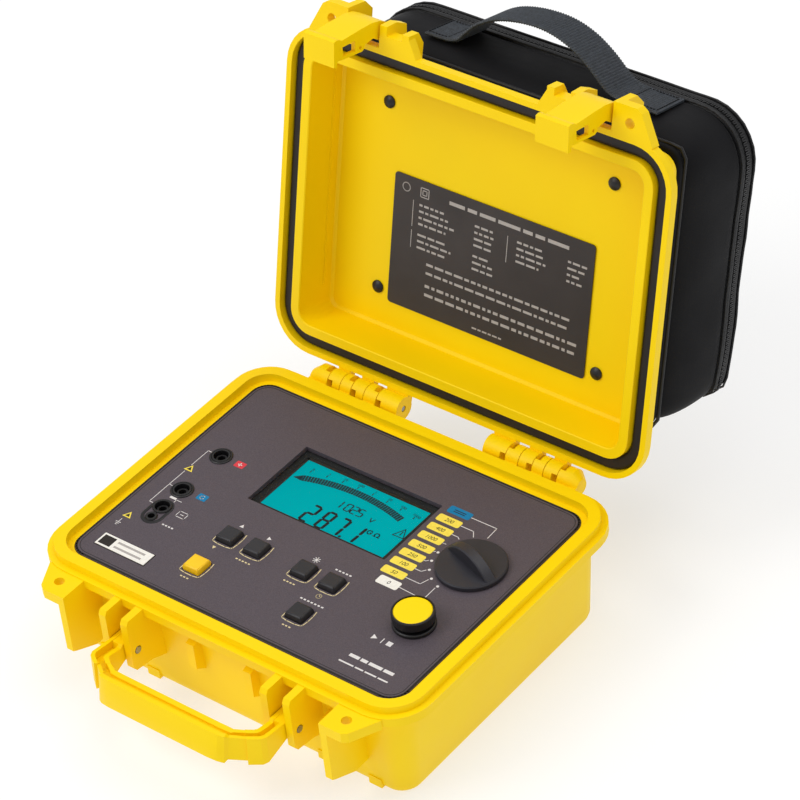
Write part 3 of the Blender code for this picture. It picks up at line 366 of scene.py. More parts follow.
def new_object(name, build, material, body, matrix=None, smooth=True):
    bmesh.ops.recalc_face_normals(build, faces=build.faces)
    mesh = bpy.data.meshes.new(name)
    build.to_mesh(mesh)
    build.free()
    if matrix:
        mesh.transform(matrix)
    mesh.materials.append(material)
    mesh.polygons.foreach_set("use_smooth", [smooth] * len(mesh.polygons))
    obj = bpy.data.objects.new(name, mesh)
    bpy.context.scene.collection.objects.link(obj)
    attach(obj, body)
    return obj


def skin(build, loops, closed=False):
    """Faces between neighbouring loops, and from the last loop back to the first if closed."""
    following = loops[1:] + loops[:1] if closed else loops[1:]
    for low, high in zip(loops, following):
        for i in range(len(low)):
            j = (i + 1) % len(low)
            build.faces.new((low[i], low[j], high[j], high[i]))


def add_plate(build, outline, low, high):
    """A thin plate between two levels, from an anticlockwise outline of (x, y) pairs."""
    bottom = [build.verts.new((x, y, low)) for x, y in outline]
    top = [build.verts.new((x, y, high)) for x, y in outline]
    build.faces.new(top)
    build.faces.new(list(reversed(bottom)))
    count = len(outline)
    for i in range(count):
        j = (i + 1) % count
        build.faces.new((bottom[i], bottom[j], top[j], top[i]))


def rectangle(cx, cy, width, height, turn=0.0):
    half_x, half_y = width / 2, height / 2
    corners = ((-half_x, -half_y), (half_x, -half_y), (half_x, half_y), (-half_x, half_y))
    cos, sin = math.cos(turn), math.sin(turn)
    return [(cx + x * cos - y * sin, cy + x * sin + y * cos) for x, y in corners]


def rounded(cx, cy, half_x, half_y, radius, steps=5):
    points = []
    for corner in range(4):
        sign_x = 1 if corner in (0, 3) else -1
        sign_y = 1 if corner in (0, 1) else -1
        for step in range(steps + 1):
            angle = math.pi / 2 * (corner + step / steps)
            points.append(
                (
                    cx + sign_x * (half_x - radius) + radius * math.cos(angle),
                    cy + sign_y * (half_y - radius) + radius * math.sin(angle),
                )
            )
    return points


def circle(cx, cy, radius, steps=20):
    return [
        (cx + radius * math.cos(2 * math.pi * i / steps), cy + radius * math.sin(2 * math.pi * i / steps))
        for i in range(steps)
    ]


def stroke(points, width, closed=False):
    """Outlines, one for each straight run of a line of that width, with small overlaps at the corners."""
    ends = list(zip(points, points[1:] + points[:1])) if closed else list(zip(points, points[1:]))
    shapes = []
    for (x0, y0), (x1, y1) in ends:
        length = math.hypot(x1 - x0, y1 - y0)
        turn = math.atan2(y1 - y0, x1 - x0)
        shapes.append(rectangle((x0 + x1) / 2, (y0 + y1) / 2, length + width * 0.8, width, turn))
    return shapes


def printed(name, shapes, material, level=PANEL_Z, body="base", thickness=INK, matrix=None, lift=0.0):
    """Flat print, in millimetres on the panel, as very thin plates on the surface at that level."""
    build = bmesh.new()
    for shape in shapes:
        outline = [(x * MM, y * MM) for x, y in shape]
        add_plate(build, outline, level + lift, level + lift + thickness)
    return new_object(name, build, material, body, matrix, smooth=False)


def digits(name, text, centre, height, material, level, body="base", slant=0.0, turn=0.0, stretch=1.0):
    """Numbers as flat print."""
    curve = bpy.data.curves.new(name, "FONT")
    curve.body = text
    curve.size = height * MM * 1.4
    curve.shear = slant
    curve.align_x = "CENTER"
    curve.align_y = "CENTER"
    curve.extrude = 0.00003
    curve.resolution_u = 3
    curve.materials.append(material)
    obj = bpy.data.objects.new(name, curve)
    bpy.context.scene.collection.objects.link(obj)
    obj.location = (centre[0] * MM, centre[1] * MM, level + INK)
    obj.rotation_euler = (0, 0, turn)
    obj.scale = (stretch, 1, 1)
    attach(obj, body)


# Panel printing. Positions are millimetres from the panel's centre.

KNOB_X, KNOB_Y = 78.2, 18.3
TICK_RADIUS = 21.1
FIRST_TICK, STEP = 106.5, 18.4  # degrees round the knob
PILL_X = 47.3
END_PILLS = {0: (PILL_X + 1.0, (7.0, 2.7)), 8: (PILL_X + 2.4, (6.6, 3.0))}  # centre x, half width and height
END_BENDS = {0: (71.4, 48.3), 8: (71.9, -13.3)}

# Height on the panel, ink, number, and how far before its tick the pill's line bends
pills = [
    (48.2, BLUE_PRINT, "", 0.0),
    (40.4, YELLOW_PRINT, "200", 2.52),
    (32.9, YELLOW_PRINT, "400", 1.56),
    (25.3, YELLOW_PRINT, "1000", 1.0),
    (17.6, YELLOW_PRINT, "500", 1.0),
    (10.0, YELLOW_PRINT, "250", 1.0),
    (2.6, YELLOW_PRINT, "100", 1.56),
    (-5.0, YELLOW_PRINT, "50", 1.56),
    (-12.5, OFF_WHITE, "0", 0.0),
]
leaders = []
ticks = []
for index, (y, ink, number, before_tick) in enumerate(pills):
    x, half = END_PILLS.get(index, (PILL_X, (7.2, 2.6)))
    printed(f"range_pill_{index + 1}", [rounded(x, y, *half, 1.1)], ink)
    if number:
        digits(f"range_number_{index + 1}", number, (x, y - 0.1), 2.5, DARK_PRINT, PANEL_Z, slant=0.2)
    else:
        blanks = [rectangle(x, y + 0.6, 7.0, 0.45), rectangle(x, y - 0.7, 7.0, 0.45)]
        printed("range_blank_bars", blanks, DARK_PRINT, lift=OVER_INK)
    angle = math.radians(FIRST_TICK + STEP * index)
    cos, sin = math.cos(angle), math.sin(angle)
    outer = (KNOB_X + (TICK_RADIUS + 1.6) * cos, KNOB_Y + (TICK_RADIUS + 1.6) * sin)
    start = (x + half[0] + 0.3, y)
    bend = END_BENDS.get(index, (max(start[0], outer[0] - before_tick), y))
    leaders.extend(stroke([start, bend, outer], 0.4))
    if index >= 4:
        ticks.append(circle(KNOB_X + TICK_RADIUS * cos, KNOB_Y + TICK_RADIUS * sin, 0.8, 10))
printed("range_leaders", leaders, WHITE_PRINT)
printed("range_ticks", ticks, WHITE_PRINT, lift=OVER_INK)

# Key outlines and small signs
key_places = {
    "key_shift": (-39.8, -54.3),
    "key_up": (-39.7, -28.6),
    "key_right": (-21.9, -28.6),
    "key_light": (8.7, -28.6),
    "key_time": (26.6, -28.6),
    "key_ratio": (26.6, -54.3),
}
KEY_HALF = 6.5
outlines = []
for x, y in key_places.values():
    left, right, foot = x - KEY_HALF, x + KEY_HALF, y - KEY_HALF
    points = [(left, y + KEY_HALF - 2.4), (left, foot + 0.6), (left + 0.8, foot)]
    points += [(x - 2.5, foot - 0.55), (x + 2.5, foot - 0.55), (right - 0.8, foot)]
    points += [(right, foot + 0.8), (right + 0.5, y - 2.0), (right + 0.5, y + 2.0), (right, y + KEY_HALF - 1.0)]
    outlines.extend(stroke(points, 0.5))
printed("key_outlines", outlines, CREAM_PRINT)


def triangle(cx, cy, size, turn=0.0):
    angles = [turn + math.radians(90 + 120 * i) for i in range(3)]
    return [(cx + size * math.cos(angle), cy + size * math.sin(angle)) for angle in angles]


white_signs = [triangle(-39.7, -18.9, 1.5), triangle(-21.9, -18.9, 1.5, math.radians(-90))]
LAMP_X, LAMP_Y = 8.7, -18.6
for step in range(8):
    angle = math.pi / 4 * step
    ray = [(LAMP_X + reach * math.cos(angle), LAMP_Y + reach * math.sin(angle)) for reach in (1.0, 2.0)]
    white_signs.extend(stroke(ray, 0.35))
white_signs.append(circle(LAMP_X, LAMP_Y, 0.75, 12))
white_signs.extend(rectangle(x, -18.9, 1.3, 0.9) for x in (21.8, 24.0, 26.2, 28.4, 30.6))
white_signs.extend(rectangle(x, -44.6, 1.3, 0.9) for x in (20.0, 22.2, 24.4, 26.6, 28.8, 31.0, 33.2))
printed("key_signs_white", white_signs, WHITE_PRINT)
cream_signs = [triangle(-41.9, -38.6, 1.3, math.pi)]
cream_signs.extend(rectangle(x, -39.2, 1.2, 0.8) for x in (-26.4, -24.4, -22.4, -20.4, -18.4))
cream_signs.extend(rectangle(x, -38.9, 1.2, 0.8) for x in (4.4, 6.4, 8.4, 10.4))
cream_signs.extend(stroke(circle(26.6, -39.0, 1.5, 16), 0.3, closed=True))
cream_signs.extend(stroke([(26.6, -38.0), (26.6, -39.0), (27.4, -39.0)], 0.3))
cream_signs.extend(rectangle(x, -64.4, 1.2, 0.8) for x in (24.4, 26.4, 28.4))
cream_signs.extend(rectangle(x, -64.0, 1.2, 0.8) for x in (-42.0, -40.0, -38.0))
printed("key_signs_cream", cream_signs, CREAM_PRINT)

# Generic marks in the places of the words by the start button and at the panel's front edge
start_signs = [triangle(68.0, -47.5, 2.0, math.radians(-90))]
start_signs += [rectangle(73.2, -47.5, 0.5, 3.6), rectangle(77.6, -47.5, 3.0, 3.0)]
printed("start_signs", start_signs, WHITE_PRINT)
edge_rows = [(65.6, -63.5, (6.0, 4.0, 8.0, 6.0), 2.0), (63.4, -69.3, (9.0, 5.0, 7.0, 6.0), 0.9)]
edge_marks = []
for x, y, lengths, height in edge_rows:
    for length in lengths:
        edge_marks.append(rectangle(x + length / 2, y, length, height))
        x += length + 1.0
printed("front_edge_marks", edge_marks, WHITE_PRINT)
# Dark lines round the panel's edge are painted shade. They stand in for the shadowed gap between the panel and the
# case, and are not a part of the object.
painted_gap_shade = stroke(rounded(0.0, 0.0, 105.2, 78.2, 9.4, 8), 1.1, closed=True)
painted_gap_shade += stroke(rounded(0.0, 0.0, 103.5, 76.5, 8.0, 8), 0.3, closed=True)
printed("panel_gap_painted_shade", painted_gap_shade, FRAME_BLACK)

# Sockets: tags, leader lines and earth sign
plus_cross = [rectangle(TAG_X, 18.0, 2.6, 0.55), rectangle(TAG_X, 18.0, 0.55, 2.6)]
minus_shapes = stroke(rounded(TAG_X, -28.6, 2.8, 2.1, 0.5, 2), 0.35, closed=True) + [rectangle(TAG_X, -28.6, 2.2, 0.4)]
printed("plus_tag", [rounded(TAG_X, 18.0, 3.0, 2.3, 0.6)], RED_PRINT)
printed("plus_sign", plus_cross, WHITE_PRINT, lift=OVER_INK)
printed("guard_tag", [rounded(TAG_X, -12.4, 3.0, 2.3, 0.6)], BLUE_PRINT)
printed("guard_sign", stroke(circle(TAG_X, -12.4, 1.2, 14)[2:], 0.45), WHITE_PRINT, lift=OVER_INK)
printed("minus_tag", minus_shapes, WHITE_PRINT)
socket_paths = [
    [(-90.6, 18.0), (-93.5, 18.0), (-93.5, 4.5)],
    [(-93.5, -1.0), (-93.5, -13.4), (-90.6, -13.4)],
    [(-93.5, -13.4), (-93.5, -29.0), (-90.6, -29.0)],
    [(-78.6, -21.0), (-82.0, -21.0), (-82.0, -23.0)],
    [(-96.6, -47.0), (-96.6, -49.6)],
]
earth_bars = ((-49.8, 3.2), (-50.8, 2.1), (-51.8, 1.0))
socket_lines = [shape for path in socket_paths for shape in stroke(path, 0.35)]
socket_lines.extend(rectangle(-96.6, y, width, 0.35) for y, width in earth_bars)
socket_lines.extend(rectangle(x, -39.2, 1.2, 0.9) for x in (-75.4, -73.4, -71.4, -69.4))
socket_lines.extend(stroke([(-86.0, -20.6), (-83.0, -20.6)], 1.4))
printed("socket_lines", socket_lines, WHITE_PRINT)
printed("socket_marks", [triangle(-92.4, 1.6, 3.1), triangle(-95.6, -43.4, 3.0)], YELLOW_PRINT)
mark_centres = [triangle(-92.4, 1.6, 1.7), triangle(-95.6, -43.4, 1.6)]
printed("socket_mark_centres", mark_centres, DARK_PRINT, lift=OVER_INK)


def closed_ring(name, sections, body):
    """A black ring on the panel. Each section is an outline and its height, in millimetres."""
    build = bmesh.new()
    loops = [[build.verts.new((x * MM, y * MM, PANEL_Z + z * MM)) for x, y in shape] for shape, z in sections]
    skin(build, loops, closed=True)
    return new_object(name, build, BLACK, body, smooth=False)


def bezel(name, outer, inner, height=0.7):
    """A flat ring with its outer edge drawn in towards the top."""
    cx = sum(x for x, _ in outer) / len(outer)
    cy = sum(y for _, y in outer) / len(outer)
    shrunk = [(cx + (x - cx) * 0.94, cy + (y - cy) * 0.94) for x, y in outer]
    sections = ((outer, 0.0), (outer, height * 0.6), (shrunk, height), (inner, height), (inner, 0.0))
    closed_ring(name, sections, "base")


# Black band round the start button's yellow cap, as (radius, height)
band = [(10.25, 4.7), (11.0, 4.7), (11.0, 9.0), (10.7, 9.5), (10.0, 9.6), (10.0, 9.52), (10.25, 9.4)]
closed_ring("start_button_band", [(circle(START_X, START_Y, radius, 40), z) for radius, z in band], "start_button")

# Bezels round the sockets and the plain plate
for name, y in (("plus", 18.0), ("guard", -13.4)):
    bezel(f"socket_bezel_{name}", circle(SOCKET_X, y, 6.3, 32), circle(SOCKET_X, y, 5.35, 32))
pair_outer, pair_inner = rounded(SOCKET_X, -33.0, 6.4, 9.9, 6.3, 8), rounded(SOCKET_X, -33.0, 4.7, 8.1, 4.6, 8)
bezel("socket_bezel_pair", pair_outer, pair_inner, 0.28)
printed("blank_plate_edge", [rectangle(-79.7, -64.2, 33.6, 9.6)], DARK_PRINT, thickness=0.0002)
printed("blank_plate", [rectangle(-79.7, -64.2, 32.8, 8.9)], OFF_WHITE, thickness=0.0004)
OVER_PLATE = 0.00041
printed("blank_plate_block", [rectangle(-91.2, -64.2, 7.6, 6.6)], DARK_PRINT, lift=OVER_PLATE)
plate_lines = [rectangle(-76.4, y, 18.0, 1.3) for y in (-62.4, -66.0)]
printed("blank_plate_lines", plate_lines, PALE_PRINT, lift=OVER_PLATE)

# Display: bar arc, scale and seven-segment numbers, on the lit glass
GLASS_Z = PANEL_Z - 3.2 * MM


def segment_digit(value, x, y, width, height, thick, slant):
    """One seven-segment figure with its lower left corner at (x, y)."""
    lit = {
        "0": "abcdef",
        "1": "bc",
        "2": "abged",
        "5": "afgcd",
        "7": "abc",
        "8": "abcdefg",
    }[value]
    gap = thick * 0.42
    mid = height / 2
    bars = {
        "a": ((gap, height), (width - gap, height)),
        "g": ((gap, mid), (width - gap, mid)),
        "d": ((gap, 0), (width - gap, 0)),
        "f": ((0, mid + gap), (0, height - gap)),
        "b": ((width, mid + gap), (width, height - gap)),
        "e": ((0, gap), (0, mid - gap)),
        "c": ((width, gap), (width, mid - gap)),
    }
    shapes = []
    for name in lit:
        (x0, y0), (x1, y1) = bars[name]
        if y0 == y1:
            shape = [
                (x0, y0 - thick / 2 + 0.1),
                (x1, y0 - thick / 2 + 0.1),
                (x1 + thick / 3, y0),
                (x1, y0 + thick / 2 - 0.1),
                (x0, y0 + thick / 2 - 0.1),
                (x0 - thick / 3, y0),
            ]
        else:
            shape = [
                (x0 - thick / 2, y0),
                (x0, y0 - thick / 3),
                (x0 + thick / 2, y0),
                (x0 + thick / 2, y1),
                (x0, y1 + thick / 3),
                (x0 - thick / 2, y1),
            ]
        shapes.append([(x + px + slant * py, y + py) for px, py in shape])
    return shapes


figures = []
for value, x in zip("2871", (-21.7, -11.7, -2.5, 7.6)):
    figures.extend(segment_digit(value, x, 3.6, 4.7, 13.0, 1.7, 0.06))
figures.append(circle(4.7, 4.2, 0.85, 10))
for value, x in zip("1025", (-12.8, -6.7, -2.7, 1.3)):
    figures.extend(segment_digit(value, x, 21.3, 3.1, 5.4, 0.8, 0.05))
figures.extend(stroke([(9.9, 23.8), (11.2, 21.2), (12.6, 23.8)], 0.55))
figures.extend(stroke(circle(16.0, 14.8, 1.35, 12)[1:], 0.6))
figures.append(rectangle(16.8, 14.6, 1.4, 0.55))
omega = [(18.7, 13.6), (20.0, 13.6), (19.2, 14.7), (19.6, 15.8), (20.6, 16.2)]
omega += [(21.6, 15.8), (22.0, 14.7), (21.2, 13.6), (22.5, 13.6)]
figures.extend(stroke(omega, 0.6))
figures.extend(stroke([(26.8, 19.6), (33.4, 19.9), (30.3, 26.2)], 0.5, closed=True))
figures.extend(stroke([(30.2, 24.0), (30.2, 21.2)], 0.6))
printed("display_figures", figures, SEGMENT, GLASS_Z)

arc_centre, arc_radius = (-6.5, -71.8), 107.0
arc_low, arc_high = math.radians(108.3), math.radians(73.6)
arc_steps = 42
bars = []
for index in range(arc_steps):
    angle = arc_low + (arc_high - arc_low) * (index + 0.5) / arc_steps
    cx = arc_centre[0] + arc_radius * math.cos(angle)
    cy = arc_centre[1] + arc_radius * math.sin(angle)
    bars.append(rectangle(cx, cy, 4.3, 1.26, angle))
tip = [
    (arc_centre[0] + r * math.cos(a), arc_centre[1] + r * math.sin(a))
    for r, a in (
        (arc_radius + 2.15, arc_low),
        (arc_radius, arc_low + math.radians(2.7)),
        (arc_radius - 2.15, arc_low),
    )
]
bars.append(tip)
printed("display_arc", bars, ARC_SEGMENT, GLASS_Z)
scale = []
for index, label in enumerate(("0", "1", "10", "100", "1", "10", "100", "1000")):
    x = -39.2 + 9.7 * index
    y = 40.9 - (x + 7.0) ** 2 / 350
    turn = -(x + 7.0) / 175
    digits(f"display_scale_{index + 1}", label, (x, y), 1.7, SEGMENT, GLASS_Z, turn=turn, stretch=1.1)
    scale.extend(stroke([(x - 0.4, y - 1.2), (x - 0.4, y - 2.6)], 0.5))
printed("display_scale_ticks", scale, SEGMENT, GLASS_Z)
mask = [rectangle(-6.5, 43.9, 84.0, 2.4), rectangle(-46.9, 23.0, 1.4, 42.0)]
printed("display_mask", mask, BLACK, GLASS_Z, lift=0.0001)

# Label plate: ruled lines in place of print, on the lid's floor (drawn on the shut lid)
LABEL_FACE = LID_FLOOR - 0.9 * MM


def on_label(name, shapes, material):
    """Print on the plate, which faces down while the lid is shut. x runs to the plate's right as it is read."""
    return printed(name, shapes, material, LABEL_FACE - INK, "lid", matrix=LID)


def label_row(x0, x1, y, height, words):
    """A run of short bars with gaps, as print looks from afar."""
    shapes = []
    x = x0
    while x < x1 - 1.0:
        length = min(rng.choice(words), x1 - x)
        shapes.append(rectangle(x + length / 2, y, length, height))
        x += length + height * 0.9
    return shapes


def plate_y(down):
    """Distance below the top edge of the plate, as the closed lid's y."""
    return -16.6 + down


rows = []
words = (2.0, 3.0, 4.4, 5.6)
rows.extend(label_row(-28.0, 48.0, plate_y(6.6), 2.0, (6.0, 10.0, 14.0)))
for x0, x1 in ((-47.0, -22.0), (-11.0, 4.0), (16.0, 38.0), (48.0, 60.0)):
    for down in (14.0, 17.6, 21.2, 24.8):
        rows.extend(label_row(x0, x0 + (x1 - x0) * rng.uniform(0.6, 1.0), plate_y(down), 1.2, words))
for x0, x1 in ((-47.0, -24.0), (-11.0, 6.0)):
    for down in (31.0, 34.6, 38.2):
        rows.extend(label_row(x0, x0 + (x1 - x0) * rng.uniform(0.6, 1.0), plate_y(down), 1.2, words))
for down in (46.0, 51.0):
    rows.extend(label_row(-40.0, 52.0, plate_y(down), 1.4, words))
for down in (58.5, 63.5):
    rows.extend(label_row(-40.0, 58.0, plate_y(down), 1.6, words))
rows.extend(label_row(-8.0, 12.0, plate_y(71.5), 0.9, (2.0, 3.0)))
rows.extend([rectangle(-51.0, plate_y(20.0), 0.4, 15.0), rectangle(10.0, plate_y(20.0), 0.4, 15.0)])
rows.extend([rectangle(-51.0, plate_y(34.5), 0.4, 10.0)])
rows.extend(stroke(rounded(-44.0, plate_y(6.6), 2.6, 2.6, 0.3, 1), 0.5, closed=True))
rows.extend(stroke(rounded(-44.0, plate_y(6.6), 1.3, 1.3, 0.2, 1), 0.5, closed=True))
rows.extend(stroke(circle(-56.0, plate_y(6.6), 2.4, 18), 0.5, closed=True))
on_label("label_lines", rows, PALE_PRINT)


# Raised strip along the lid's left inner wall
build = bmesh.new()
strip = [(-102.9, -66.0), (-101.6, -66.0), (-101.6, 60.0), (-102.9, 60.0)]
add_plate(build, [(x * MM, y * MM) for x, y in strip], LID_FLOOR - 7.5 * MM, LID_FLOOR - 3.0 * MM)
new_object("lid_wall_strip", build, YELLOW, "lid", LID, smooth=False)


# Accessory bag, drawn on the shut lid and turned open with it


def soft_outline(half_x, top_y, foot_y, radii, bulge=0.0, count=96):
    """Evenly spaced points round a bag ring. Its top and foot corners have their own radii, and its sides swell."""
    cy = (top_y + foot_y) / 2
    half_y = (foot_y - top_y) / 2
    dense = []
    for corner in range(4):
        sign_x = 1 if corner in (0, 3) else -1
        radius = radii[1] if corner in (0, 1) else radii[0]
        middle_y = foot_y - radius if corner in (0, 1) else top_y + radius
        for step in range(17):
            angle = math.pi / 2 * (corner + step / 16)
            middle_x = sign_x * (half_x - radius)
            dense.append((middle_x + radius * math.cos(angle), middle_y + radius * math.sin(angle)))
    lengths = [0.0]
    for (x0, y0), (x1, y1) in zip(dense, dense[1:] + dense[:1]):
        lengths.append(lengths[-1] + math.hypot(x1 - x0, y1 - y0))
    total = lengths[-1]
    dense.append(dense[0])
    points = []
    index = 0
    for i in range(count):
        want = total * i / count
        while lengths[index + 1] < want:
            index += 1
        span = lengths[index + 1] - lengths[index] or 1.0
        t = (want - lengths[index]) / span
        x = dense[index][0] * (1 - t) + dense[index + 1][0] * t
        y = dense[index][1] * (1 - t) + dense[index + 1][1] * t
        across, along = x / half_x, (y - cy) / half_y
        swell_x = bulge * (1 - along * along) * math.copysign(min(1, abs(across) ** 6), across)
        swell_y = bulge * 0.4 * (1 - across * across) * math.copysign(min(1, abs(along) ** 6), along)
        points.append((x + swell_x, y + swell_y))
    return points


BAG_LOW = LID_FLOOR + 3.3 * MM
creases = Vector((3.1, 7.7, 1.3))


def slack(x, y, z, puff=1.0):
    """How far the stuffed fabric stands out at a point of a ring, in millimetres. It lies flat under the strap."""
    free = 1.0 if y > -70 else 0.25
    shift = noise.noise(Vector((x, y, z)) * 0.03 + creases) * 1.3 * puff * free
    shift += noise.noise(Vector((x, y, z)) * 0.085 + creases * 2) * 0.45 * puff * free
    return shift + max(0.0, 1 - math.hypot(x - 106, y + 76) / 30) * 1.2 * puff


def bag_loft(name, rings, material, domed=False, puff=1.0):
    """Skins and caps bag rings, given as (half_x, top_y, foot_y, radii, bulge, z) in mm above the lid."""
    build = bmesh.new()
    loops = []
    for ring in rings:
        *shape, z = ring
        loop = []
        for x, y in soft_outline(*shape):
            shift = slack(x, y, z, puff)
            length = math.hypot(x, y) or 1.0
            place = ((x + x / length * shift) * MM, (y + y / length * shift) * MM, BAG_LOW + z * MM)
            loop.append(build.verts.new(place))
        loops.append(loop)
    skin(build, loops)
    for loop, soft in ((loops[0], False), (loops[-1], domed)):
        previous = loop
        cx = 0.0
        cy = sum(v.co.y for v in loop) / len(loop)
        cz = loop[0].co.z
        for fraction in (0.8, 0.5, 0.22):
            inner = []
            for v in loop:
                x, y = cx + (v.co.x - cx) * fraction, cy + (v.co.y - cy) * fraction
                dome = noise.noise(Vector((x / MM, y / MM, 4.0)) * 0.02) * 1.4 * MM * puff
                inner.append(build.verts.new((x, y, cz + (dome if soft else 0.0))))
            skin(build, [previous, inner])
            previous = inner
        middle = build.verts.new((cx, cy, cz))
        for i in range(len(loop)):
            build.faces.new((previous[i], previous[(i + 1) % len(loop)], middle))
    obj = new_object(name, build, material, "lid", LID)
    smooth = obj.modifiers.new("subdivide", "SUBSURF")
    smooth.levels = smooth.render_levels = 1
    return obj


def bag_piping(name, ring, radius, puff=1.0):
    """A round binding sewn along a bag ring."""
    *shape, z = ring
    centres = []
    for x, y in soft_outline(*shape, 120):
        shift = slack(x, y, z, puff)
        length = math.hypot(x, y) or 1.0
        centres.append(Vector(((x + x / length * shift) * MM, (y + y / length * shift) * MM, BAG_LOW + z * MM)))
    return tube(name, centres, radius * MM, BINDING)


def tube(name, centres, radius, material, sides=8):
    """A closed loop of tube along the centres, which lie level on the shut lid."""
    build = bmesh.new()
    count = len(centres)
    loops = []
    for i, centre in enumerate(centres):
        ahead = centres[(i + 1) % count] - centres[i - 1]
        along = ahead.normalized()
        side = along.cross(Vector((0, 0, 1))).normalized()
        up = side.cross(along)
        angles = [2 * math.pi * k / sides for k in range(sides)]
        loops.append([build.verts.new(centre + radius * (math.cos(a) * side + math.sin(a) * up)) for a in angles])
    skin(build, loops, closed=True)
    return new_object(name, build, material, "lid", LID)


SEAM = (114.0, -86.3, 70.5, (28.0, 9.5))  # widest ring of the bag: half width, top, foot, corner radii


def seam_ring(inset, z):
    """The widest ring drawn in by a distance, at a height above the lid."""
    half_x, top_y, foot_y, radii = SEAM
    return (half_x - inset, top_y + inset, foot_y - inset, tuple(r - inset for r in radii), 0.4, z)


pad_rings = [
    (103.4, -78.2, 73.4, (4.4, 4.4), 0.0, 0.2),
    (105.2, -80.0, 75.2, (5.4, 5.4), 0.0, 0.9),
    (105.4, -80.2, 75.4, (5.6, 5.6), 0.0, 4.4),
    (104.2, -79.0, 74.2, (4.8, 4.8), 0.0, 5.2),
]
pad = bag_loft("bag_backing", pad_rings, BAG_DARK, puff=0.0)
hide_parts("bag_pad")
bag_piping("bag_backing_piping", pad_rings[2], 1.0, puff=0.0)

body_rings = [
    (101.6, -77.4, 72.2, (12.0, 7.0), 0.0, 5.0),
    (104.4, -79.8, 73.8, (15.0, 7.5), 0.3, 7.0),
    (107.2, -82.0, 74.3, (18.0, 8.0), 0.8, 11.0),
    (109.8, -83.7, 74.0, (21.0, 8.5), 1.0, 18.0),
    (111.8, -84.5, 73.0, (24.0, 9.0), 1.0, 26.0),
    (113.0, -84.8, 71.8, (26.0, 9.0), 0.8, 34.0),
    (113.8, -85.2, 70.7, (27.6, 9.4), 0.5, 40.8),
    seam_ring(0.1, 43.2),
]
body = bag_loft("bag_shell", body_rings, BAG)
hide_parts("bag_body")
bag_piping("bag_front_seam", seam_ring(0.0, 43.4), 0.6)

tape_rings = [
    seam_ring(0.4, 43.4),
    seam_ring(-0.3, 44.2),
    seam_ring(-0.5, 46.2),
    seam_ring(0.4, 47.0),
    seam_ring(0.4, 49.2),
    seam_ring(-0.5, 50.0),
    seam_ring(-0.3, 52.2),
    seam_ring(0.6, 52.9),
]
tape = bag_loft("zip_tape_band", tape_rings, BINDING)
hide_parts("bag_zip")

cover_rings = [
    seam_ring(0.6, 52.8),
    seam_ring(-0.3, 53.4),
    seam_ring(-0.2, 54.8),
    seam_ring(1.4, 56.8),
    seam_ring(5.0, 58.6),
    seam_ring(11.0, 59.3),
]
cover = bag_loft("bag_rear_cover", cover_rings, BAG, domed=True)
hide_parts("bag_cover")
bag_piping("bag_rear_piping", seam_ring(-0.3, 53.6), 0.65)


def zip_coil():
    """Interlocked coil: a short slanted bar for each turn, along the middle of the tape."""
    build = bmesh.new()
    *shape, z = seam_ring(0.4, 48.1)
    ring = soft_outline(*shape, 620)
    count = len(ring)
    for i, (x, y) in enumerate(ring):
        length = math.hypot(x, y)
        out = Vector((x / length, y / length, 0.0))
        centre = Vector((x, y, z)) + out * (slack(x, y, z) + 0.55)
        ahead, behind = ring[(i + 1) % count], ring[i - 1]
        along = Vector((ahead[0] - behind[0], ahead[1] - behind[1], 0.0)).normalized()
        outward = along.cross(Vector((0, 0, 1)))
        if outward.dot(out) < 0:
            outward = -outward
        lean = 0.18 if i % 2 else -0.18
        corners = []
        for a, b in ((-1, -1), (1, -1), (1, 1), (-1, 1)):
            for c in (-1, 1):
                point = centre + along * (a * 0.33 + c * lean) + outward * (b * 0.35) + Vector((0, 0, c * 1.5))
                corners.append(build.verts.new(point * MM + Vector((0, 0, BAG_LOW))))
        low, high = corners[0::2], corners[1::2]
        build.faces.new(low)
        build.faces.new(list(reversed(high)))
        for k in range(4):
            n = (k + 1) % 4
            build.faces.new((low[k], high[k], high[n], low[n]))
    new_object("zip_coil", build, ZIP_COIL, "lid", LID, smooth=False)


zip_coil()

# Zip slider and its pull: half width, depth, low and high end, and place along the lid
build = bmesh.new()
slider_y = SEAM[2] + 1.4
for width, depth, low, top, y in ((3.6, 1.5, 45.2, 51.2, slider_y), (1.6, 1.0, 46.4, 59.0, slider_y + 1.4)):
    middle = (low + top) / 2
    outline = [(x * MM, z * MM) for x, z in rounded(0.0, middle, width, (top - low) / 2, width * 0.6, 4)]
    front = [build.verts.new((x, (y - depth / 2) * MM, BAG_LOW + z)) for x, z in outline]
    back = [build.verts.new((x, (y + depth / 2) * MM, BAG_LOW + z)) for x, z in outline]
    build.faces.new(front)
    build.faces.new(list(reversed(back)))
    for i in range(len(front)):
        j = (i + 1) % len(front)
        build.faces.new((front[i], back[i], back[j], front[j]))
slider = new_object("zip_slider", build, STEEL, "lid", LID, smooth=False)
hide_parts("zip_pull")


# Strap: ribbed webbing with two stitched feet


def smooth_between(a, b, c, d, t):
    """Value at a fraction t of the way from b to c on a smooth curve through all four."""
    return 0.5 * (2 * b + (c - a) * t + (2 * a - 5 * b + 4 * c - d) * t**2 + (3 * b - a - 3 * c + d) * t**3)


def spline(points, step):
    """Points every step along a smooth line through the given ones."""
    dense = []
    padded = [points[0], *points, points[-1]]
    for a, b, c, d in zip(padded, padded[1:], padded[2:], padded[3:]):
        for i in range(24):
            dense.append(tuple(smooth_between(*values, i / 24) for values in zip(a, b, c, d)))
    dense.append(points[-1])
    even = [dense[0]]
    carried = 0.0
    for a, b in zip(dense, dense[1:]):
        length = math.dist(a, b)
        while length and carried + length >= step:
            t = (step - carried) / length
            a = tuple(a[k] + (b[k] - a[k]) * t for k in range(len(a)))
            even.append(a)
            length = math.dist(a, b)
            carried = 0.0
        carried += length
    return even


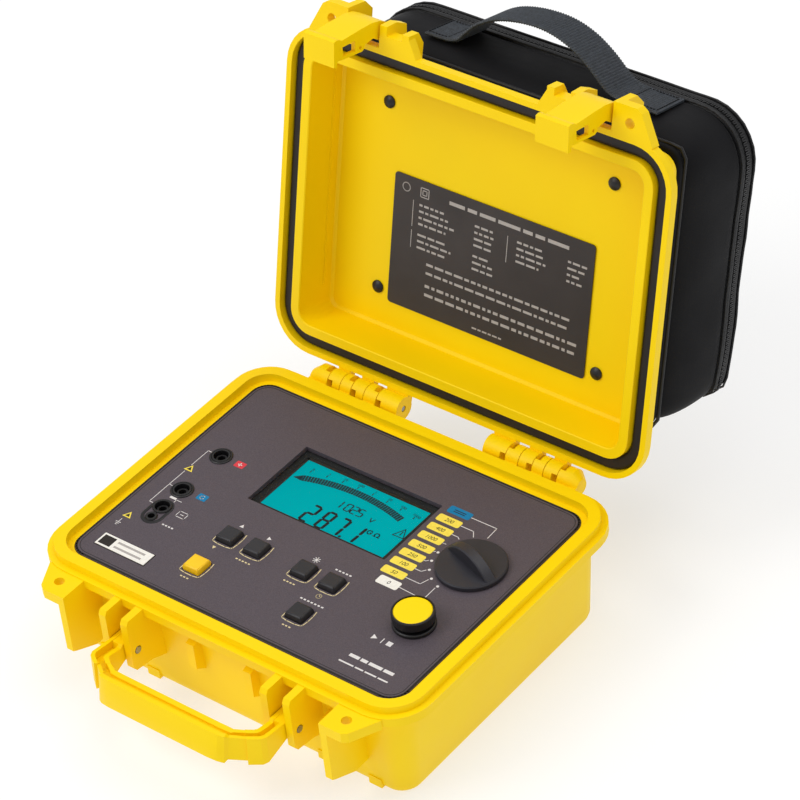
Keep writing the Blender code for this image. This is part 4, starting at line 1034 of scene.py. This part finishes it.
strap_line = [
    (-67.0, -86.4),
    (-58.0, -86.5),
    (-51.5, -86.9),
    (-46.5, -88.5),
    (-42.6, -92.6),
    (-35.6, -99.6),
    (-23.8, -106.2),
    (-8.0, -109.6),
    (8.0, -109.6),
    (22.0, -105.8),
    (33.7, -99.2),
    (42.6, -92.3),
    (48.5, -88.3),
    (55.4, -86.9),
    (66.0, -86.5),
    (78.5, -86.4),
]
strap_points = spline(strap_line, 0.8)
build = bmesh.new()
loops = []
low_z, high_z = 17.3, 42.1
middle_z = (low_z + high_z) / 2
for i, (x, y) in enumerate(strap_points):
    before = strap_points[max(i - 1, 0)]
    after = strap_points[min(i + 1, len(strap_points) - 1)]
    along = Vector((after[0] - before[0], after[1] - before[1])).normalized()
    out = Vector((along.y, -along.x))
    if out.y > 0:
        out = -out
    half = 0.55 + (0.55 if i % 2 else 0.0)
    gathered = 1 - 0.05 * max(0.0, 1 - abs(x) / 44)
    profile = [(-half, -0.96), (0.0, -1.0), (half, -0.96), (half, -0.4), (half, 0.4), (half, 0.96), (0.0, 1.0)]
    profile += [(-half, 0.96), (-half, 0.4), (-half, -0.4)]
    loop = []
    for offset, across in profile:
        z = middle_z + across * gathered * (high_z - low_z) / 2
        point = Vector((x, y)) + out * offset
        loop.append(build.verts.new((point.x * MM, point.y * MM, BAG_LOW + z * MM)))
    loops.append(loop)
skin(build, loops)
build.faces.new(loops[0])
build.faces.new(list(reversed(loops[-1])))
strap = new_object("strap_webbing", build, WEBBING, "lid", LID, smooth=False)
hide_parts("carry_strap")

# Stitching on both feet of the strap
STITCH_Y = -87.55
stitches = bmesh.new()
for x0, x1 in ((-65.0, -54.0), (59.0, 76.0)):
    marks = []
    for step in range(int((x1 - x0) / 2) + 1):
        marks.extend(((x0 + 2 * step, z, 1.3, 0.4) for z in (low_z + 2.2, high_z - 2.2)))
    for step in range(10):
        marks.extend(((x, low_z + 3.2 + 2 * step, 0.4, 1.3) for x in (x0 - 0.6, x1 + 0.6)))
    for x, z, long_x, long_z in marks:
        verts = [
            stitches.verts.new(
                ((x + dx * long_x / 2) * MM, (STITCH_Y - dy * 0.2) * MM, BAG_LOW + (z + dz * long_z / 2) * MM)
            )
            for dy in (-1, 1)
            for dx, dz in ((-1, -1), (1, -1), (1, 1), (-1, 1))
        ]
        stitches.faces.new(verts[:4])
        stitches.faces.new(list(reversed(verts[4:])))
        for k in range(4):
            n = (k + 1) % 4
            stitches.faces.new((verts[k], verts[n], verts[4 + n], verts[4 + k]))
new_object("strap_stitches", stitches, BAG_DARK, "lid", LID, smooth=False)


# Stage, light and camera

floor_mesh = bpy.data.meshes.new("floor")
build = bmesh.new()
bmesh.ops.create_grid(build, x_segments=2, y_segments=2, size=4.0)
build.to_mesh(floor_mesh)
build.free()
floor = bpy.data.objects.new("floor", floor_mesh)
floor.location = (0, 0, -0.0003)
bpy.context.scene.collection.objects.link(floor)
stage = Nodes("stage white", Specular_IOR_Level=0.1, Roughness=0.9)
stage.colour(stage.noise(2.0, 1.0), [(0.0, (0.45, 0.45, 0.45, 1)), (1.0, (0.47, 0.47, 0.47, 1))])
stage.shader.inputs["Emission Color"].default_value = (1.0, 1.0, 1.0, 1.0)
stage.shader.inputs["Emission Strength"].default_value = 0.56
floor_mesh.materials.append(stage.material)
floor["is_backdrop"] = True


def area_light(name, place, size, power):
    """A square light aimed at the middle of the object."""
    light = bpy.data.lights.new(name, "AREA")
    light.energy = power
    light.size = size
    obj = bpy.data.objects.new(name, light)
    obj.location = place
    obj.rotation_euler = (Vector((0, 0, 0.1)) - Vector(place)).to_track_quat("-Z", "Y").to_euler()
    bpy.context.scene.collection.objects.link(obj)


area_light("key", (-0.9, -1.2, 1.8), 1.2, 18.0)
area_light("fill", (1.7, -0.9, 1.1), 1.4, 1.5)
area_light("top", (0.2, 0.6, 2.2), 1.6, 15.0)
world = bpy.context.scene.world or bpy.data.worlds.new("world")
bpy.context.scene.world = world
world.use_nodes = True
background = world.node_tree.nodes["Background"]
background.inputs["Color"].default_value = (1, 1, 1, 1)
background.inputs["Strength"].default_value = 0.58
bpy.context.scene.view_settings.view_transform = "Standard"

camera_data = bpy.data.cameras.new("camera")
camera_data.lens = 159.75
camera_data.sensor_width = 36.0
camera_data.clip_start = 0.05
camera_data.clip_end = 20.0
camera = bpy.data.objects.new("camera", camera_data)
bpy.context.scene.collection.objects.link(camera)
turn = Matrix(((0.78688, -0.33041, 0.52121), (0.61055, 0.53967, -0.57964), (-0.08975, 0.77434, 0.62639)))
camera.matrix_world = Matrix.Translation((0.93888, -0.97744, 1.16839 + PANEL_Z)) @ turn.to_4x4()
bpy.context.scene.camera = camera

low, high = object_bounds()
